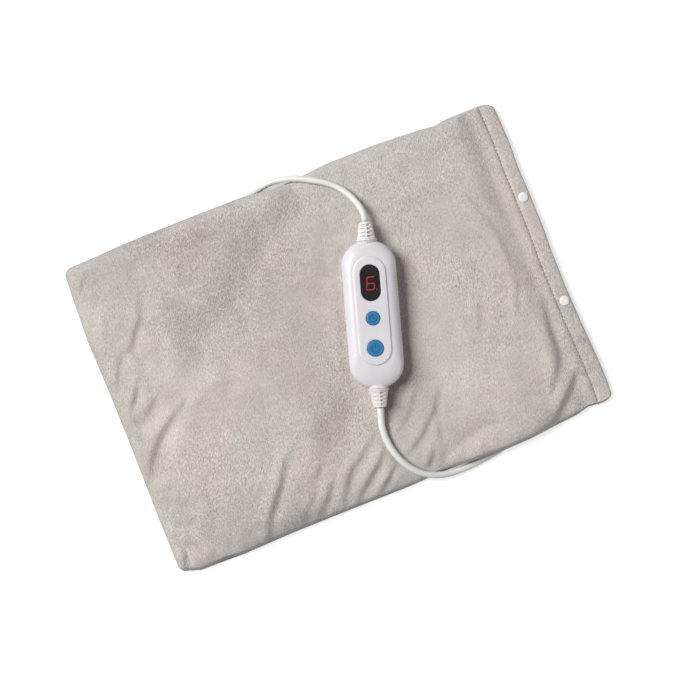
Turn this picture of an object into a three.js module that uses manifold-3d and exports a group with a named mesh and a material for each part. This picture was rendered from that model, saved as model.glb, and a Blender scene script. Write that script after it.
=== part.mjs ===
// Heating pad in a plush cover, with its hand controller lying on it, on a flat surface.
// Millimetres, +Z up. The origin is on the resting plane under the middle of the cover.
// +X runs along the long sides towards the hemmed mouth of the cover.
// The spare mains lead is coiled under the pad, and the cover drapes over it.
import * as THREE from 'three';
import { mergeVertices } from 'three/addons/utils/BufferGeometryUtils.js';
import Module from 'manifold-3d';

const wasm = await Module();
wasm.setup();

// Cover
const COVER_LENGTH = 434;
const COVER_WIDTH = 308;
const COVER_CORNER_RADIUS = 16;
const FLEECE_THICKNESS = 2.4;
const SEAM_ALLOWANCE = 5.5;
const SEAM_EDGE_THICKNESS = 3;
const SEAM_EDGE_RISE = 1.7;
const HEM_WIDTH = 14.5;
const HEM_CHANNEL_DEPTH = 1.2;
const MOUTH_GAP = 2.4;
const HEM_DRAW_IN = 3;
const LOWER_EDGE_RISE = 6.5;
const UPPER_EDGE_SAG = 4;
const LAYER_GAP = 0.3;
// Slack of the upper cloth over the felt, and its broad waves: length, heading in degrees, phase in turns, height
const SLACK = 1.5;
const SLACK_WAVES = [[150, 35, 0.15, 0.6], [118, -20, 0.6, 0.55], [104, 80, 0.3, 0.45], [97, -65, 0.85, 0.35]];

// Inner pad
const FELT_THICKNESS = 1.8;
const WIRE_ZONE = 3;
const WIRE_DIAMETER = 1.8;
const INNER_PAD_INSET = 17;
const WIRE_ROWS = 10;

// Hand controller
const CONTROLLER_LENGTH = 135;
const CONTROLLER_WIDTH = 50;
const BASE_HEIGHT = 11.5;
const TOP_HEIGHT = 11.5;
const CORNER_RADIUS_TOP = 20;
const CORNER_RADIUS_BOTTOM = 23;
const SHELL_WALL = 2;
const SHELL_GAP = 0.3;
const DOME_SIDE = 10.15;
const PANEL_RAISE = 0.9;
const PANEL_BEVEL = 1.6;
const DISPLAY_WIDTH = 18.2;
const TIMER_BUTTON_DIAMETER = 12.5;
const POWER_BUTTON_DIAMETER = 14.8;
const BUTTON_PROUD = 0.7;
const BUTTON_CLEARANCE = 0.3;
const CONTROLLER_TURN_DEGREES = -17.1;
const CONTROLLER_X = 37.4;
const CONTROLLER_Y = 7.3;

// Leads and plug
const PAD_LEAD_DIAMETER = 5.8;
const MAINS_LEAD_DIAMETER = 6.2;
const RELIEF_LENGTH = 17.4;
const RELIEF_BASE_DIAMETER = 19;
const RELIEF_TIP_DIAMETER = 12;
const RELIEF_SLOT_ROWS = 4;
const COIL_MEAN_DIAMETER = 66;
const COIL_TURNS = 7.25;
const COIL_PITCH_GAP = 0.5;
const TIE_THICKNESS = 0.5;
const TIE_WIDTH = 9;
const PLUG_WIDTH = 35.3;
const PLUG_THICKNESS = 13.7;
const PLUG_LENGTH = 36;
const PIN_LENGTH = 19;
const PIN_DIAMETER = 4;
const PIN_SPACING = 19;
const SEAT_GAP = 0.3;
const OVERRUN = 1;

// Cord routes, chosen by hand: millimetres in the part's frame
const PAD_LEAD_ROUTE = [
  [62.5, 89.0, 23.8], [63.7, 94.9, 23.8], [63.5, 101.8, 23.2], [61.7, 109.0, 21.4], [57.8, 118.2, 18.4],
  [51.8, 127.3, 16.0], [44.8, 134.2, 15.4], [36.8, 139.8, 15.0], [28.3, 145.0, 13.6], [19.3, 149.7, 12.2],
  [10.2, 153.4, 9.6], [1.0, 155.6, 6.4], [-8.2, 156.0, 4.2], [-17.0, 154.6, 3.1], [-27.5, 152.4, 3.0],
  [-40.0, 149.0, 3.0], [-53.0, 143.3, 3.0], [-66.0, 135.6, 3.1], [-78.0, 126.2, 3.7], [-87.6, 117.6, 4.0],
];
const PAD_LEAD_HIDDEN_FROM = 14;
const MAINS_LEAD_ROUTE = [
  [12.3, -74.4, 23.8], [10.1, -81.6, 23.8], [7.6, -90.6, 23.8], [6.6, -101.0, 23.6], [8.0, -113.4, 23.0],
  [12.0, -126.0, 21.7], [19.2, -138.0, 18.3], [27.6, -146.2, 14.7], [36.6, -151.6, 11.2], [46.4, -154.7, 7.6],
  [56.0, -156.0, 4.9], [65.4, -156.3, 3.5], [75.4, -155.8, 3.2], [85.5, -154.8, 3.2], [94.5, -153.7, 3.2],
  [102.5, -152.1, 3.2], [114.5, -148.2, 3.2], [123.5, -139.2, 3.2], [126.7, -127.0, 3.2],
  [123.5, -114.8, 3.2], [114.5, -105.8, 3.2], [102.5, -102.4, 3.2], [84.0, -103.2, 3.2], [64.0, -105.2, 3.2],
  [42.0, -107.0, 3.2], [15.0, -107.9, 3.2], [-15.0, -107.4, 3.2], [-45.0, -105.2, 3.2], [-72.0, -101.0, 3.5],
  [-92.0, -98.8, 3.9], [-108.5, -98.4, 3.9],
];
const MAINS_LEAD_HIDDEN_FROM = 13;
const MAINS_TAIL_ROUTE = [
  [0, 0, 0], [0, 8.5, -0.2], [-0.1, 16.5, -2.4], [-0.6, 24.5, -5.0], [-1.2, 32.5, -6.0],
  [-1.8, 40.5, -5.4], [-2.4, 48.5, -4.2], [-2.8, 56.3, -3.75],
];

// Shares of the pieces that carry them
const GRID_COLUMN_SHARES = [
  0.06, 0.096, 0.145, 0.203, 0.275, 0.348, 0.395, 0.441, 0.488, 0.54, 0.638, 0.737, 0.84, 0.94];
const COIL_CORE_SHARE = 1.24;
const SNAP_PLACE_SHARES = [0.368, -0.301];
const SEAM_CROWN_SHARES = [0.68, 0.95];
const PANEL_LENGTH_SHARE = 0.737;
const PANEL_PLACE_SHARE = 0.025;
const DISPLAY_LENGTH_SHARE = 0.249;
const DISPLAY_PLACE_SHARE = 0.2133;
const TIMER_BUTTON_PLACE_SHARE = -0.026;
const POWER_BUTTON_PLACE_SHARE = -0.2281;
const SCREW_PLACE_SHARE = 0.3185;
const COMPONENT_SPACING_SHARE = 0.0815;
const BOARD_LENGTH_SHARE = 0.569;

// Controller sizes that follow its length and width
const PANEL_WIDTH = CONTROLLER_WIDTH - 2 * DOME_SIDE;
const PANEL_LENGTH = PANEL_LENGTH_SHARE * CONTROLLER_LENGTH;
const PANEL_OFFSET = PANEL_PLACE_SHARE * CONTROLLER_LENGTH;
const DISPLAY_LENGTH = DISPLAY_LENGTH_SHARE * CONTROLLER_LENGTH;
const DISPLAY_OFFSET = DISPLAY_PLACE_SHARE * CONTROLLER_LENGTH;
const TIMER_BUTTON_OFFSET = TIMER_BUTTON_PLACE_SHARE * CONTROLLER_LENGTH;
const POWER_BUTTON_OFFSET = POWER_BUTTON_PLACE_SHARE * CONTROLLER_LENGTH;

// Materials
function material(colour, roughness, metalness = 0) {
  return new THREE.MeshStandardMaterial({ color: colour, roughness, metalness });
}
const plush = material(0xb9b4ac, 0.95);
const felt = material(0xe6e2da, 0.9);
const wireJacket = material(0xd9c7a0, 0.6);
const whitePlastic = material(0xe9e6ea, 0.3);
const whiteRubber = material(0xe4e1de, 0.5);
const bluePlastic = material(0x1c86c4, 0.35);
const blackLens = material(0x161214, 0.08);
const boardGreen = material(0x2f6b3a, 0.6);
const blackPlastic = material(0x1d1d1f, 0.5);
const redEpoxy = material(0x9b3a2a, 0.4);
const steel = material(0xb8babd, 0.3, 1);
const brass = material(0xc9b27a, 0.3, 1);
const part = new THREE.Group();

// Closed solids from three.js geometry
function closed(geometry) {
  const bare = geometry.clone();
  bare.deleteAttribute('normal');
  bare.deleteAttribute('uv');
  const merged = mergeVertices(bare, 1e-4);
  const places = merged.attributes.position.array;
  const kept = [];
  let volume = 0;
  const a = new THREE.Vector3();
  const b = new THREE.Vector3();
  const c = new THREE.Vector3();
  for (let i = 0; i < merged.index.count; i += 3) {
    const [p, q, r] = [merged.index.getX(i), merged.index.getX(i + 1), merged.index.getX(i + 2)];
    if (p === q || q === r || r === p) continue;
    kept.push(p, q, r);
    a.fromArray(places, 3 * p);
    b.fromArray(places, 3 * q);
    c.fromArray(places, 3 * r);
    volume += a.dot(b.cross(c));
  }
  if (volume < 0) {
    for (let i = 0; i < kept.length; i += 3) [kept[i + 1], kept[i + 2]] = [kept[i + 2], kept[i + 1]];
  }
  const solid = new THREE.BufferGeometry();
  solid.setAttribute('position', merged.attributes.position.clone());
  solid.setIndex(kept);
  return solid;
}

function toManifold(geometry) {
  const solid = closed(geometry);
  return new wasm.Manifold(new wasm.Mesh({
    numProp: 3,
    vertProperties: new Float32Array(solid.attributes.position.array),
    triVerts: new Uint32Array(solid.index.array),
  }));
}

function fromManifold(manifold) {
  const mesh = manifold.getMesh();
  const geometry = new THREE.BufferGeometry();
  geometry.setAttribute('position', new THREE.BufferAttribute(new Float32Array(mesh.vertProperties), 3));
  geometry.setIndex(new THREE.BufferAttribute(new Uint32Array(mesh.triVerts), 1));
  return geometry;
}

function join(geometries) {
  return fromManifold(geometries.map(toManifold).reduce((whole, piece) => whole.add(piece)));
}

function cut(geometry, tools) {
  return fromManifold(tools.map(toManifold).reduce((whole, tool) => whole.subtract(tool), toManifold(geometry)));
}

function addPiece(name, geometry, look, parent = part) {
  const mesh = new THREE.Mesh(closed(geometry), look);
  mesh.name = name;
  parent.add(mesh);
  return mesh;
}

// Rings of equal count, joined bottom to top and capped
function loft(rings) {
  const count = rings[0].length;
  const places = rings.flat().flatMap((p) => [p.x, p.y, p.z]);
  const index = [];
  for (let k = 0; k + 1 < rings.length; k++) {
    for (let i = 0; i < count; i++) {
      const j = (i + 1) % count;
      const [a, b, c, d] = [k * count + i, k * count + j, (k + 1) * count + j, (k + 1) * count + i];
      index.push(a, b, c, a, c, d);
    }
  }
  const top = (rings.length - 1) * count;
  for (let i = 1; i + 1 < count; i++) {
    index.push(0, i + 1, i, top, top + i, top + i + 1);
  }
  const geometry = new THREE.BufferGeometry();
  geometry.setAttribute('position', new THREE.Float32BufferAttribute(places, 3));
  geometry.setIndex(index);
  return geometry;
}

// A rectangle with round corners, its two ends rounded to their own radius
function roundedRing(halfWidth, halfLength, topRadius, bottomRadius, z, arcSteps, centreY = 0) {
  const points = [];
  const corners = [[1, 1, 0], [-1, 1, 1], [-1, -1, 2], [1, -1, 3]];
  for (const [sideX, sideY, quarter] of corners) {
    const radius = Math.min(sideY > 0 ? topRadius : bottomRadius, halfWidth);
    for (let k = 0; k <= arcSteps; k++) {
      const angle = (quarter + k / arcSteps) * Math.PI / 2;
      const x = sideX * (halfWidth - radius) + radius * Math.cos(angle);
      const y = sideY * (halfLength - radius) + radius * Math.sin(angle);
      points.push(new THREE.Vector3(x, centreY + y, z));
    }
  }
  return points;
}

function obround(width, length, bottom, top, centreY, arcSteps = 8) {
  const ring = (z) => roundedRing(width / 2, length / 2, width / 2, width / 2, z, arcSteps, centreY);
  return loft([ring(bottom), ring(top)]);
}

function box(width, length, bottom, top, x = 0, y = 0) {
  return new THREE.BoxGeometry(width, length, top - bottom).translate(x, y, (top + bottom) / 2);
}

// Turned piece: pairs of radius and height, turned about Z
function turned(profile, segments) {
  const points = profile.map(([radius, height]) => new THREE.Vector2(radius, height));
  return new THREE.LatheGeometry(points, segments).rotateX(Math.PI / 2);
}

function cylinder(diameter, bottom, top, segments, x = 0, y = 0) {
  return turned([[0, bottom], [diameter / 2, bottom], [diameter / 2, top], [0, top]], segments).translate(x, y, 0);
}

// Free cord: a round tube along its route
const CORD_SIDES = 10;
const CORD_STEP_DIAMETERS = 2.3;
function cord(route, diameter, sides = CORD_SIDES) {
  const curve = new THREE.CatmullRomCurve3(route.map((p) => new THREE.Vector3(...p)), false, 'centripetal');
  const section = new THREE.Shape();
  for (let k = 0; k < sides; k++) {
    const angle = (k + 0.5) * 2 * Math.PI / sides;
    const x = diameter / 2 * Math.cos(angle);
    const y = diameter / 2 * Math.sin(angle);
    if (k === 0) section.moveTo(x, y);
    else section.lineTo(x, y);
  }
  const steps = Math.ceil(curve.getLength() / (CORD_STEP_DIAMETERS * diameter));
  return new THREE.ExtrudeGeometry(section, { steps, extrudePath: curve, bevelEnabled: false });
}

// How high the cover is lifted by what lies under it
const MAINS_RADIUS = MAINS_LEAD_DIAMETER / 2;
const COIL_PITCH = MAINS_LEAD_DIAMETER + COIL_PITCH_GAP;
const COIL_SPREAD = COIL_PITCH * COIL_TURNS / 2;
const COIL_OUTER_RADIUS = (COIL_MEAN_DIAMETER + COIL_SPREAD) / 2;
const COIL_FLOOR = TIE_THICKNESS + SEAT_GAP;
const COIL_TOP = COIL_FLOOR + MAINS_LEAD_DIAMETER + COIL_PITCH;
const leadEnd = MAINS_LEAD_ROUTE[MAINS_LEAD_ROUTE.length - 1];
const coilStart = new THREE.Vector3(leadEnd[0] - SEAT_GAP, leadEnd[1], COIL_FLOOR + MAINS_RADIUS);
const coilCentre = new THREE.Vector2(coilStart.x - MAINS_LEAD_DIAMETER, coilStart.y + COIL_OUTER_RADIUS);
const coilEnd = new THREE.Vector3(
  coilCentre.x - COIL_OUTER_RADIUS, coilCentre.y + MAINS_LEAD_DIAMETER, coilStart.z + COIL_PITCH);
const tailRoute = MAINS_TAIL_ROUTE.map(([x, y, z]) => [coilEnd.x + x, coilEnd.y + SEAT_GAP + y, coilEnd.z + z]);
const tailEnd = tailRoute[tailRoute.length - 1];
const PLUG_RELIEF_LENGTH = 25;
const plugPlace = new THREE.Vector3(tailEnd[0], tailEnd[1] + SEAT_GAP + PLUG_RELIEF_LENGTH, PLUG_THICKNESS / 2);

const COIL_LIFT = COIL_TOP + TIE_THICKNESS + 2 * SEAT_GAP;
const COIL_FALL = 47;
const PLUG_LIFT = PLUG_THICKNESS + 3 * SEAT_GAP;
const PLUG_FALL = 42;
const PLUG_MARGIN = 2;
const LEAD_LIFT = MAINS_LEAD_DIAMETER + 3 * SEAT_GAP;
const LEAD_CORE = 12;
const LEAD_FALL = 29;
const GLAND_HEIGHT = 7.2;
const GLAND_LIFT = GLAND_HEIGHT + 2 * SEAT_GAP;
const GLAND_CORE = 18;
const GLAND_FALL = 27;
const LIFT_BLEND = 4;
const HEM_LIFT = 1.6;
const HEM_LIFT_FALL = 16;
const HEM_LIFT_SPAN = 104;

function ease(share) {
  const t = Math.min(Math.max(share, 0), 1);
  return t * t * (3 - 2 * t);
}

function blendUp(a, b) {
  const h = Math.max(LIFT_BLEND - Math.abs(a - b), 0) / LIFT_BLEND;
  return Math.max(a, b) + (a > 0 && b > 0 ? h * h * Math.min(a, b, LIFT_BLEND) / 4 : 0);
}

function distanceToRoute(x, y, route) {
  const place = new THREE.Vector3(x, y, 0);
  const nearest = new THREE.Vector3();
  let least = Infinity;
  for (let k = 0; k + 1 < route.length; k++) {
    const line = new THREE.Line3(
      new THREE.Vector3(route[k][0], route[k][1], 0), new THREE.Vector3(route[k + 1][0], route[k + 1][1], 0));
    line.closestPointToPoint(place, true, nearest);
    least = Math.min(least, nearest.distanceTo(place));
  }
  return least;
}

const glandPlace = new THREE.Vector2(-108, 99.6);
const hiddenMainsLead = MAINS_LEAD_ROUTE.slice(MAINS_LEAD_HIDDEN_FROM);
const hiddenPadLead = PAD_LEAD_ROUTE.slice(PAD_LEAD_HIDDEN_FROM).concat([[glandPlace.x, glandPlace.y, 0]]);

function liftAt(x, y) {
  const rise = (distance, core, fall, height) => height * (1 - ease((distance - core) / fall));
  const fromCoil = Math.hypot(x - coilCentre.x, y - coilCentre.y);
  const plugSide = Math.max(Math.abs(x - plugPlace.x) - PLUG_WIDTH / 2 - PLUG_MARGIN, 0);
  const plugBack = plugPlace.y - PLUG_RELIEF_LENGTH;
  const plugFront = plugPlace.y + PLUG_LENGTH + PIN_LENGTH / 2;
  const plugAlong = Math.max(plugBack - y, y - plugFront, 0);
  const coilLift = rise(fromCoil, (COIL_OUTER_RADIUS + MAINS_RADIUS) * COIL_CORE_SHARE, COIL_FALL, COIL_LIFT);
  const plugLift = rise(Math.hypot(plugSide, plugAlong), 0, PLUG_FALL, PLUG_LIFT);
  const mainsLift = rise(distanceToRoute(x, y, hiddenMainsLead), LEAD_CORE, LEAD_FALL, LEAD_LIFT);
  const padLeadLift = rise(distanceToRoute(x, y, hiddenPadLead), GLAND_CORE, GLAND_FALL, GLAND_LIFT);
  const hemSide = Math.max(COVER_LENGTH / 2 - HEM_WIDTH + 2 - x, 0);
  const hemEnd = Math.max(Math.abs(y) - HEM_LIFT_SPAN, 0);
  const hemLift = rise(Math.hypot(hemSide, hemEnd / 2), 0, HEM_LIFT_FALL, HEM_LIFT);
  return [coilLift, plugLift, mainsLift, padLeadLift, hemLift].reduce(blendUp, 0);
}

// Grid shared by the cover and the inner pad, so that their layers stay parallel
const HALF_LENGTH = COVER_LENGTH / 2;
const HALF_WIDTH = COVER_WIDTH / 2;
const HEM_LINE = HALF_LENGTH - HEM_WIDTH;
const INNER_RIGHT = HEM_LINE - INNER_PAD_INSET;
const INNER_LEFT = INNER_PAD_INSET - HALF_LENGTH;
const INNER_HALF_WIDTH = HALF_WIDTH - INNER_PAD_INSET;
const ROW_SPACING = 2 * INNER_HALF_WIDTH / (WIRE_ROWS + 1);
const columns = [
  -HALF_LENGTH, SEAM_ALLOWANCE - HALF_LENGTH, INNER_LEFT,
  ...GRID_COLUMN_SHARES.map((share) => INNER_LEFT + share * (INNER_RIGHT - INNER_LEFT)),
  INNER_RIGHT, HEM_LINE, HALF_LENGTH - HEM_WIDTH / 2, HALF_LENGTH,
];
const innerRows = Array.from({ length: WIRE_ROWS + 2 }, (_, k) => k * ROW_SPACING - INNER_HALF_WIDTH);
const rows = [
  -HALF_WIDTH, SEAM_ALLOWANCE - HALF_WIDTH, ...innerRows, HALF_WIDTH - SEAM_ALLOWANCE, HALF_WIDTH,
];
const LAST_COLUMN = columns.length - 1;
const LAST_ROW = rows.length - 1;
const INNER_COLUMNS = [2, LAST_COLUMN - 3];
const INNER_ROWS = [2, LAST_ROW - 2];

// Where the leads cross an edge, the edge is pushed in beside them
const EDGE_DENT = 4;
const EDGE_DENT_REACH = 34;
const LOWER_DENT_PLACE = 62;
const UPPER_DENT_PLACE = -4;
const LOWER_RISE_START_SHARE = 0.5;
const UPPER_SAG_PLACE_SHARE = 0.69;
const UPPER_SAG_REACH_SHARE = 0.34;

function bump(offset, reach) {
  return Math.abs(offset) < reach ? (1 + Math.cos(Math.PI * offset / reach)) / 2 : 0;
}

// Place in plan of a grid point: round corners, slack edges and a drawn-in hem
function plan(u, v) {
  const cornerX = Math.abs(u) - (HALF_LENGTH - COVER_CORNER_RADIUS);
  const cornerY = Math.abs(v) - (HALF_WIDTH - COVER_CORNER_RADIUS);
  let x = u;
  let y = v;
  if (cornerX > 0 && cornerY > 0) {
    const pull = Math.max(cornerX, cornerY) / Math.hypot(cornerX, cornerY);
    x = Math.sign(u) * (HALF_LENGTH - COVER_CORNER_RADIUS + cornerX * pull);
    y = Math.sign(v) * (HALF_WIDTH - COVER_CORNER_RADIUS + cornerY * pull);
  }
  const nearSide = (Math.abs(u) / HALF_LENGTH) ** 4;
  const nearEdge = (Math.abs(v) / HALF_WIDTH) ** 4;
  const acrossHem = 1 - (v / HALF_WIDTH) ** 2;
  if (u > 0) x -= HEM_DRAW_IN * acrossHem * nearSide;
  const lowerShare = (u / HALF_LENGTH - LOWER_RISE_START_SHARE) / (1 - LOWER_RISE_START_SHARE);
  const upperSag = bump(u / HALF_LENGTH - UPPER_SAG_PLACE_SHARE, UPPER_SAG_REACH_SHARE);
  const dentPlace = v < 0 ? LOWER_DENT_PLACE : UPPER_DENT_PLACE;
  const dent = EDGE_DENT * bump(u - dentPlace, EDGE_DENT_REACH) * nearEdge ** 5;
  if (v < 0) y += LOWER_EDGE_RISE * ease(lowerShare) * nearEdge + dent;
  else y -= UPPER_EDGE_SAG * upperSag * nearEdge + dent;
  return [x, y];
}

const PAD_THICKNESS = 2 * FLEECE_THICKNESS + 2 * LAYER_GAP + 2 * FELT_THICKNESS + WIRE_ZONE;
const HEM_THICKNESS = 2 * FLEECE_THICKNESS + MOUTH_GAP;
const isHem = (i, j) => i >= LAST_COLUMN - 2 && j >= 2 && j <= LAST_ROW - 2;
const ringOf = (i, j) => Math.min(i, j, LAST_ROW - j, i > LAST_COLUMN - 1 ? 0 : LAST_COLUMN);

const gridLift = columns.map((u) => rows.map((v) => liftAt(...plan(u, v))));

function coverThickness(i, j) {
  const ring = ringOf(i, j);
  let thickness = ring < 2 ? SEAM_CROWN_SHARES[Math.max(ring - 1, 0)] * PAD_THICKNESS : PAD_THICKNESS;
  if (ring === 2) thickness = SEAM_CROWN_SHARES[1] * PAD_THICKNESS;
  if (i >= LAST_COLUMN - 2) thickness = Math.min(thickness, HEM_THICKNESS);
  if (i === LAST_COLUMN - 2) thickness -= HEM_CHANNEL_DEPTH;
  return thickness;
}

function coverBottom(i, j) {
  const onRim = i === 0 || j === 0 || j === LAST_ROW || i === LAST_COLUMN;
  return gridLift[i][j] + (onRim ? SEAM_EDGE_RISE * (isHem(i, j) ? LAYER_GAP : 1) : 0);
}

// The controller's middle line and the lengths of lead that lie low on the pad hold the cloth down
const controllerTurn = THREE.MathUtils.degToRad(CONTROLLER_TURN_DEGREES);
const controllerHalfLine = [-Math.sin(controllerTurn), Math.cos(controllerTurn)].map((c) => c * CONTROLLER_LENGTH / 2);
const controllerLine = [-1, 1].map((end) => [
  CONTROLLER_X + end * controllerHalfLine[0], CONTROLLER_Y + end * controllerHalfLine[1], 0]);
const lowLeads = [PAD_LEAD_ROUTE.slice(3, PAD_LEAD_HIDDEN_FROM), MAINS_LEAD_ROUTE.slice(5, MAINS_LEAD_HIDDEN_FROM)];
const SLACK_SAMPLES = 6;

function heldDown(i, j) {
  for (let m = 0; m <= SLACK_SAMPLES; m++) {
    for (let n = 0; n <= SLACK_SAMPLES; n++) {
      const x = THREE.MathUtils.lerp(columns[i - 1], columns[i + 1], m / SLACK_SAMPLES);
      const y = THREE.MathUtils.lerp(rows[j - 1], rows[j + 1], n / SLACK_SAMPLES);
      if (distanceToRoute(x, y, controllerLine) < CONTROLLER_WIDTH / 2 + SLACK) return true;
      if (lowLeads.some((route) => distanceToRoute(x, y, route) < MAINS_LEAD_DIAMETER)) return true;
    }
  }
  return false;
}

function slackAt(i, j) {
  if (i < 2 || j < 2 || i > LAST_COLUMN - 3 || j > LAST_ROW - 2 || heldDown(i, j)) return 0;
  const [x, y] = plan(columns[i], rows[j]);
  const waves = SLACK_WAVES.map(([length, heading, phase, height]) => {
    const turn = THREE.MathUtils.degToRad(heading);
    return height * Math.sin(2 * Math.PI * ((x * Math.cos(turn) + y * Math.sin(turn)) / length + phase));
  });
  return Math.max(SLACK + waves.reduce((sum, wave) => sum + wave), 0);
}
const gridSlack = columns.map((u, i) => rows.map((v, j) => slackAt(i, j)));

function coverTop(i, j) {
  const onRim = i === 0 || j === 0 || j === LAST_ROW || i === LAST_COLUMN;
  if (onRim && !isHem(i, j)) return coverBottom(i, j) + SEAM_EDGE_THICKNESS;
  return gridLift[i][j] + coverThickness(i, j) + gridSlack[i][j] - (onRim ? SEAM_EDGE_RISE * LAYER_GAP : 0);
}

// A closed layer over a patch of the grid, between two heights
function layer([i0, i1], [j0, j1], top, bottom, shift = () => [0, 0]) {
  const places = [];
  const index = [];
  const countY = j1 - j0 + 1;
  const sheet = (i1 - i0 + 1) * countY;
  for (const height of [top, bottom]) {
    for (let i = i0; i <= i1; i++) {
      for (let j = j0; j <= j1; j++) {
        const [x, y] = plan(columns[i], rows[j]);
        const [dx, dy] = shift(i, j);
        places.push(x + dx, y + dy, height(i, j));
      }
    }
  }
  const at = (i, j) => (i - i0) * countY + (j - j0);
  for (let i = i0; i < i1; i++) {
    for (let j = j0; j < j1; j++) {
      const [a, b, c, d] = [at(i, j), at(i + 1, j), at(i + 1, j + 1), at(i, j + 1)];
      index.push(a, b, c, a, c, d, sheet + a, sheet + c, sheet + b, sheet + a, sheet + d, sheet + c);
    }
  }
  const wall = (a, b) => index.push(a, sheet + a, sheet + b, a, sheet + b, b);
  for (let i = i0; i < i1; i++) {
    wall(at(i, j0), at(i + 1, j0));
    wall(at(i + 1, j1), at(i, j1));
  }
  for (let j = j0; j < j1; j++) {
    wall(at(i1, j), at(i1, j + 1));
    wall(at(i0, j + 1), at(i0, j));
  }
  const geometry = new THREE.BufferGeometry();
  geometry.setAttribute('position', new THREE.Float32BufferAttribute(places, 3));
  geometry.setIndex(index);
  return geometry;
}

// The exact place on a layer's facets above a point of the grid
function onLayer(u, v, height) {
  const cell = (lines, value) => {
    let k = 0;
    while (k < lines.length - 2 && lines[k + 1] <= value) k++;
    return k;
  };
  const i = cell(columns, u);
  const j = cell(rows, v);
  const s = (u - columns[i]) / (columns[i + 1] - columns[i]);
  const t = (v - rows[j]) / (rows[j + 1] - rows[j]);
  const corner = (di, dj) => {
    const [x, y] = plan(columns[i + di], rows[j + dj]);
    return new THREE.Vector3(x, y, height(i + di, j + dj));
  };
  const place = new THREE.Vector3();
  place.addScaledVector(corner(0, 0), 1 - Math.max(s, t));
  place.addScaledVector(s > t ? corner(1, 0) : corner(0, 1), Math.abs(s - t));
  return place.addScaledVector(corner(1, 1), Math.min(s, t));
}

// Cover: a plush bag sewn round three sides, with a hemmed mouth at +X
const outerBag = layer([0, LAST_COLUMN], [0, LAST_ROW], coverTop, coverBottom);
const cavityTop = (i, j) => gridLift[i][j] + coverThickness(i, j) - FLEECE_THICKNESS;
const cavityBottom = (i, j) => gridLift[i][j] + FLEECE_THICKNESS;
const pocket = layer([1, LAST_COLUMN - 3], [1, LAST_ROW - 1], cavityTop, cavityBottom);
const throughMouth = (i) => (i === LAST_COLUMN ? [OVERRUN, 0] : [0, 0]);
const mouth = layer([LAST_COLUMN - 4, LAST_COLUMN], [2, LAST_ROW - 2],
  (i, j) => (i > LAST_COLUMN - 3 ? cavityBottom(i, j) + MOUTH_GAP : cavityTop(i, j)),
  cavityBottom, throughMouth);
const GLAND_NECK_DIAMETER = 9;
const neckHole = cylinder(
  GLAND_NECK_DIAMETER + 2 * SEAT_GAP, 0, PAD_THICKNESS + GLAND_LIFT - FLEECE_THICKNESS - FELT_THICKNESS - OVERRUN,
  16, glandPlace.x, glandPlace.y);

// Snap fasteners along the hem
const SNAP_CAP_DIAMETER = 9.2;
const SNAP_CAP_HEIGHT = 1.4;
const SNAP_CAP_EDGE = 0.6;
const SNAP_SHANK_DIAMETER = 2.6;
const SNAP_DISC_DIAMETER = 8.4;
const SNAP_DISC_HEIGHT = 0.7;
const SNAP_KNOB_DIAMETER = 4;
const SNAP_SEGMENTS = 12;
const snapPlaces = SNAP_PLACE_SHARES.map((share) => {
  const u = HALF_LENGTH - HEM_WIDTH / 2;
  const v = share * HALF_WIDTH;
  const step = SNAP_CAP_DIAMETER / 2;
  const place = onLayer(u, v, (i, j) => gridLift[i][j]);
  const along = onLayer(u, v + step, (i, j) => gridLift[i][j]).sub(onLayer(u, v - step, (i, j) => gridLift[i][j]));
  const across = onLayer(u + step, v, (i, j) => gridLift[i][j])
    .sub(onLayer(u - step, v, (i, j) => gridLift[i][j]));
  const normal = across.cross(along).normalize();
  const turn = new THREE.Quaternion().setFromUnitVectors(new THREE.Vector3(0, 0, 1), normal);
  return new THREE.Matrix4().compose(place, turn, new THREE.Vector3(1, 1, 1));
});
const UPPER_CLOTH_BOTTOM = HEM_THICKNESS - FLEECE_THICKNESS;
const shankHole = (bottom, top) => cylinder(
  SNAP_SHANK_DIAMETER + 2 * SEAT_GAP, bottom, top, SNAP_SEGMENTS);
const snapHoles = snapPlaces.map(
  (place) => shankHole(-OVERRUN, HEM_THICKNESS + OVERRUN).applyMatrix4(place));
addPiece('cover', cut(outerBag, [pocket, mouth, neckHole, ...snapHoles]), plush);

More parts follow.
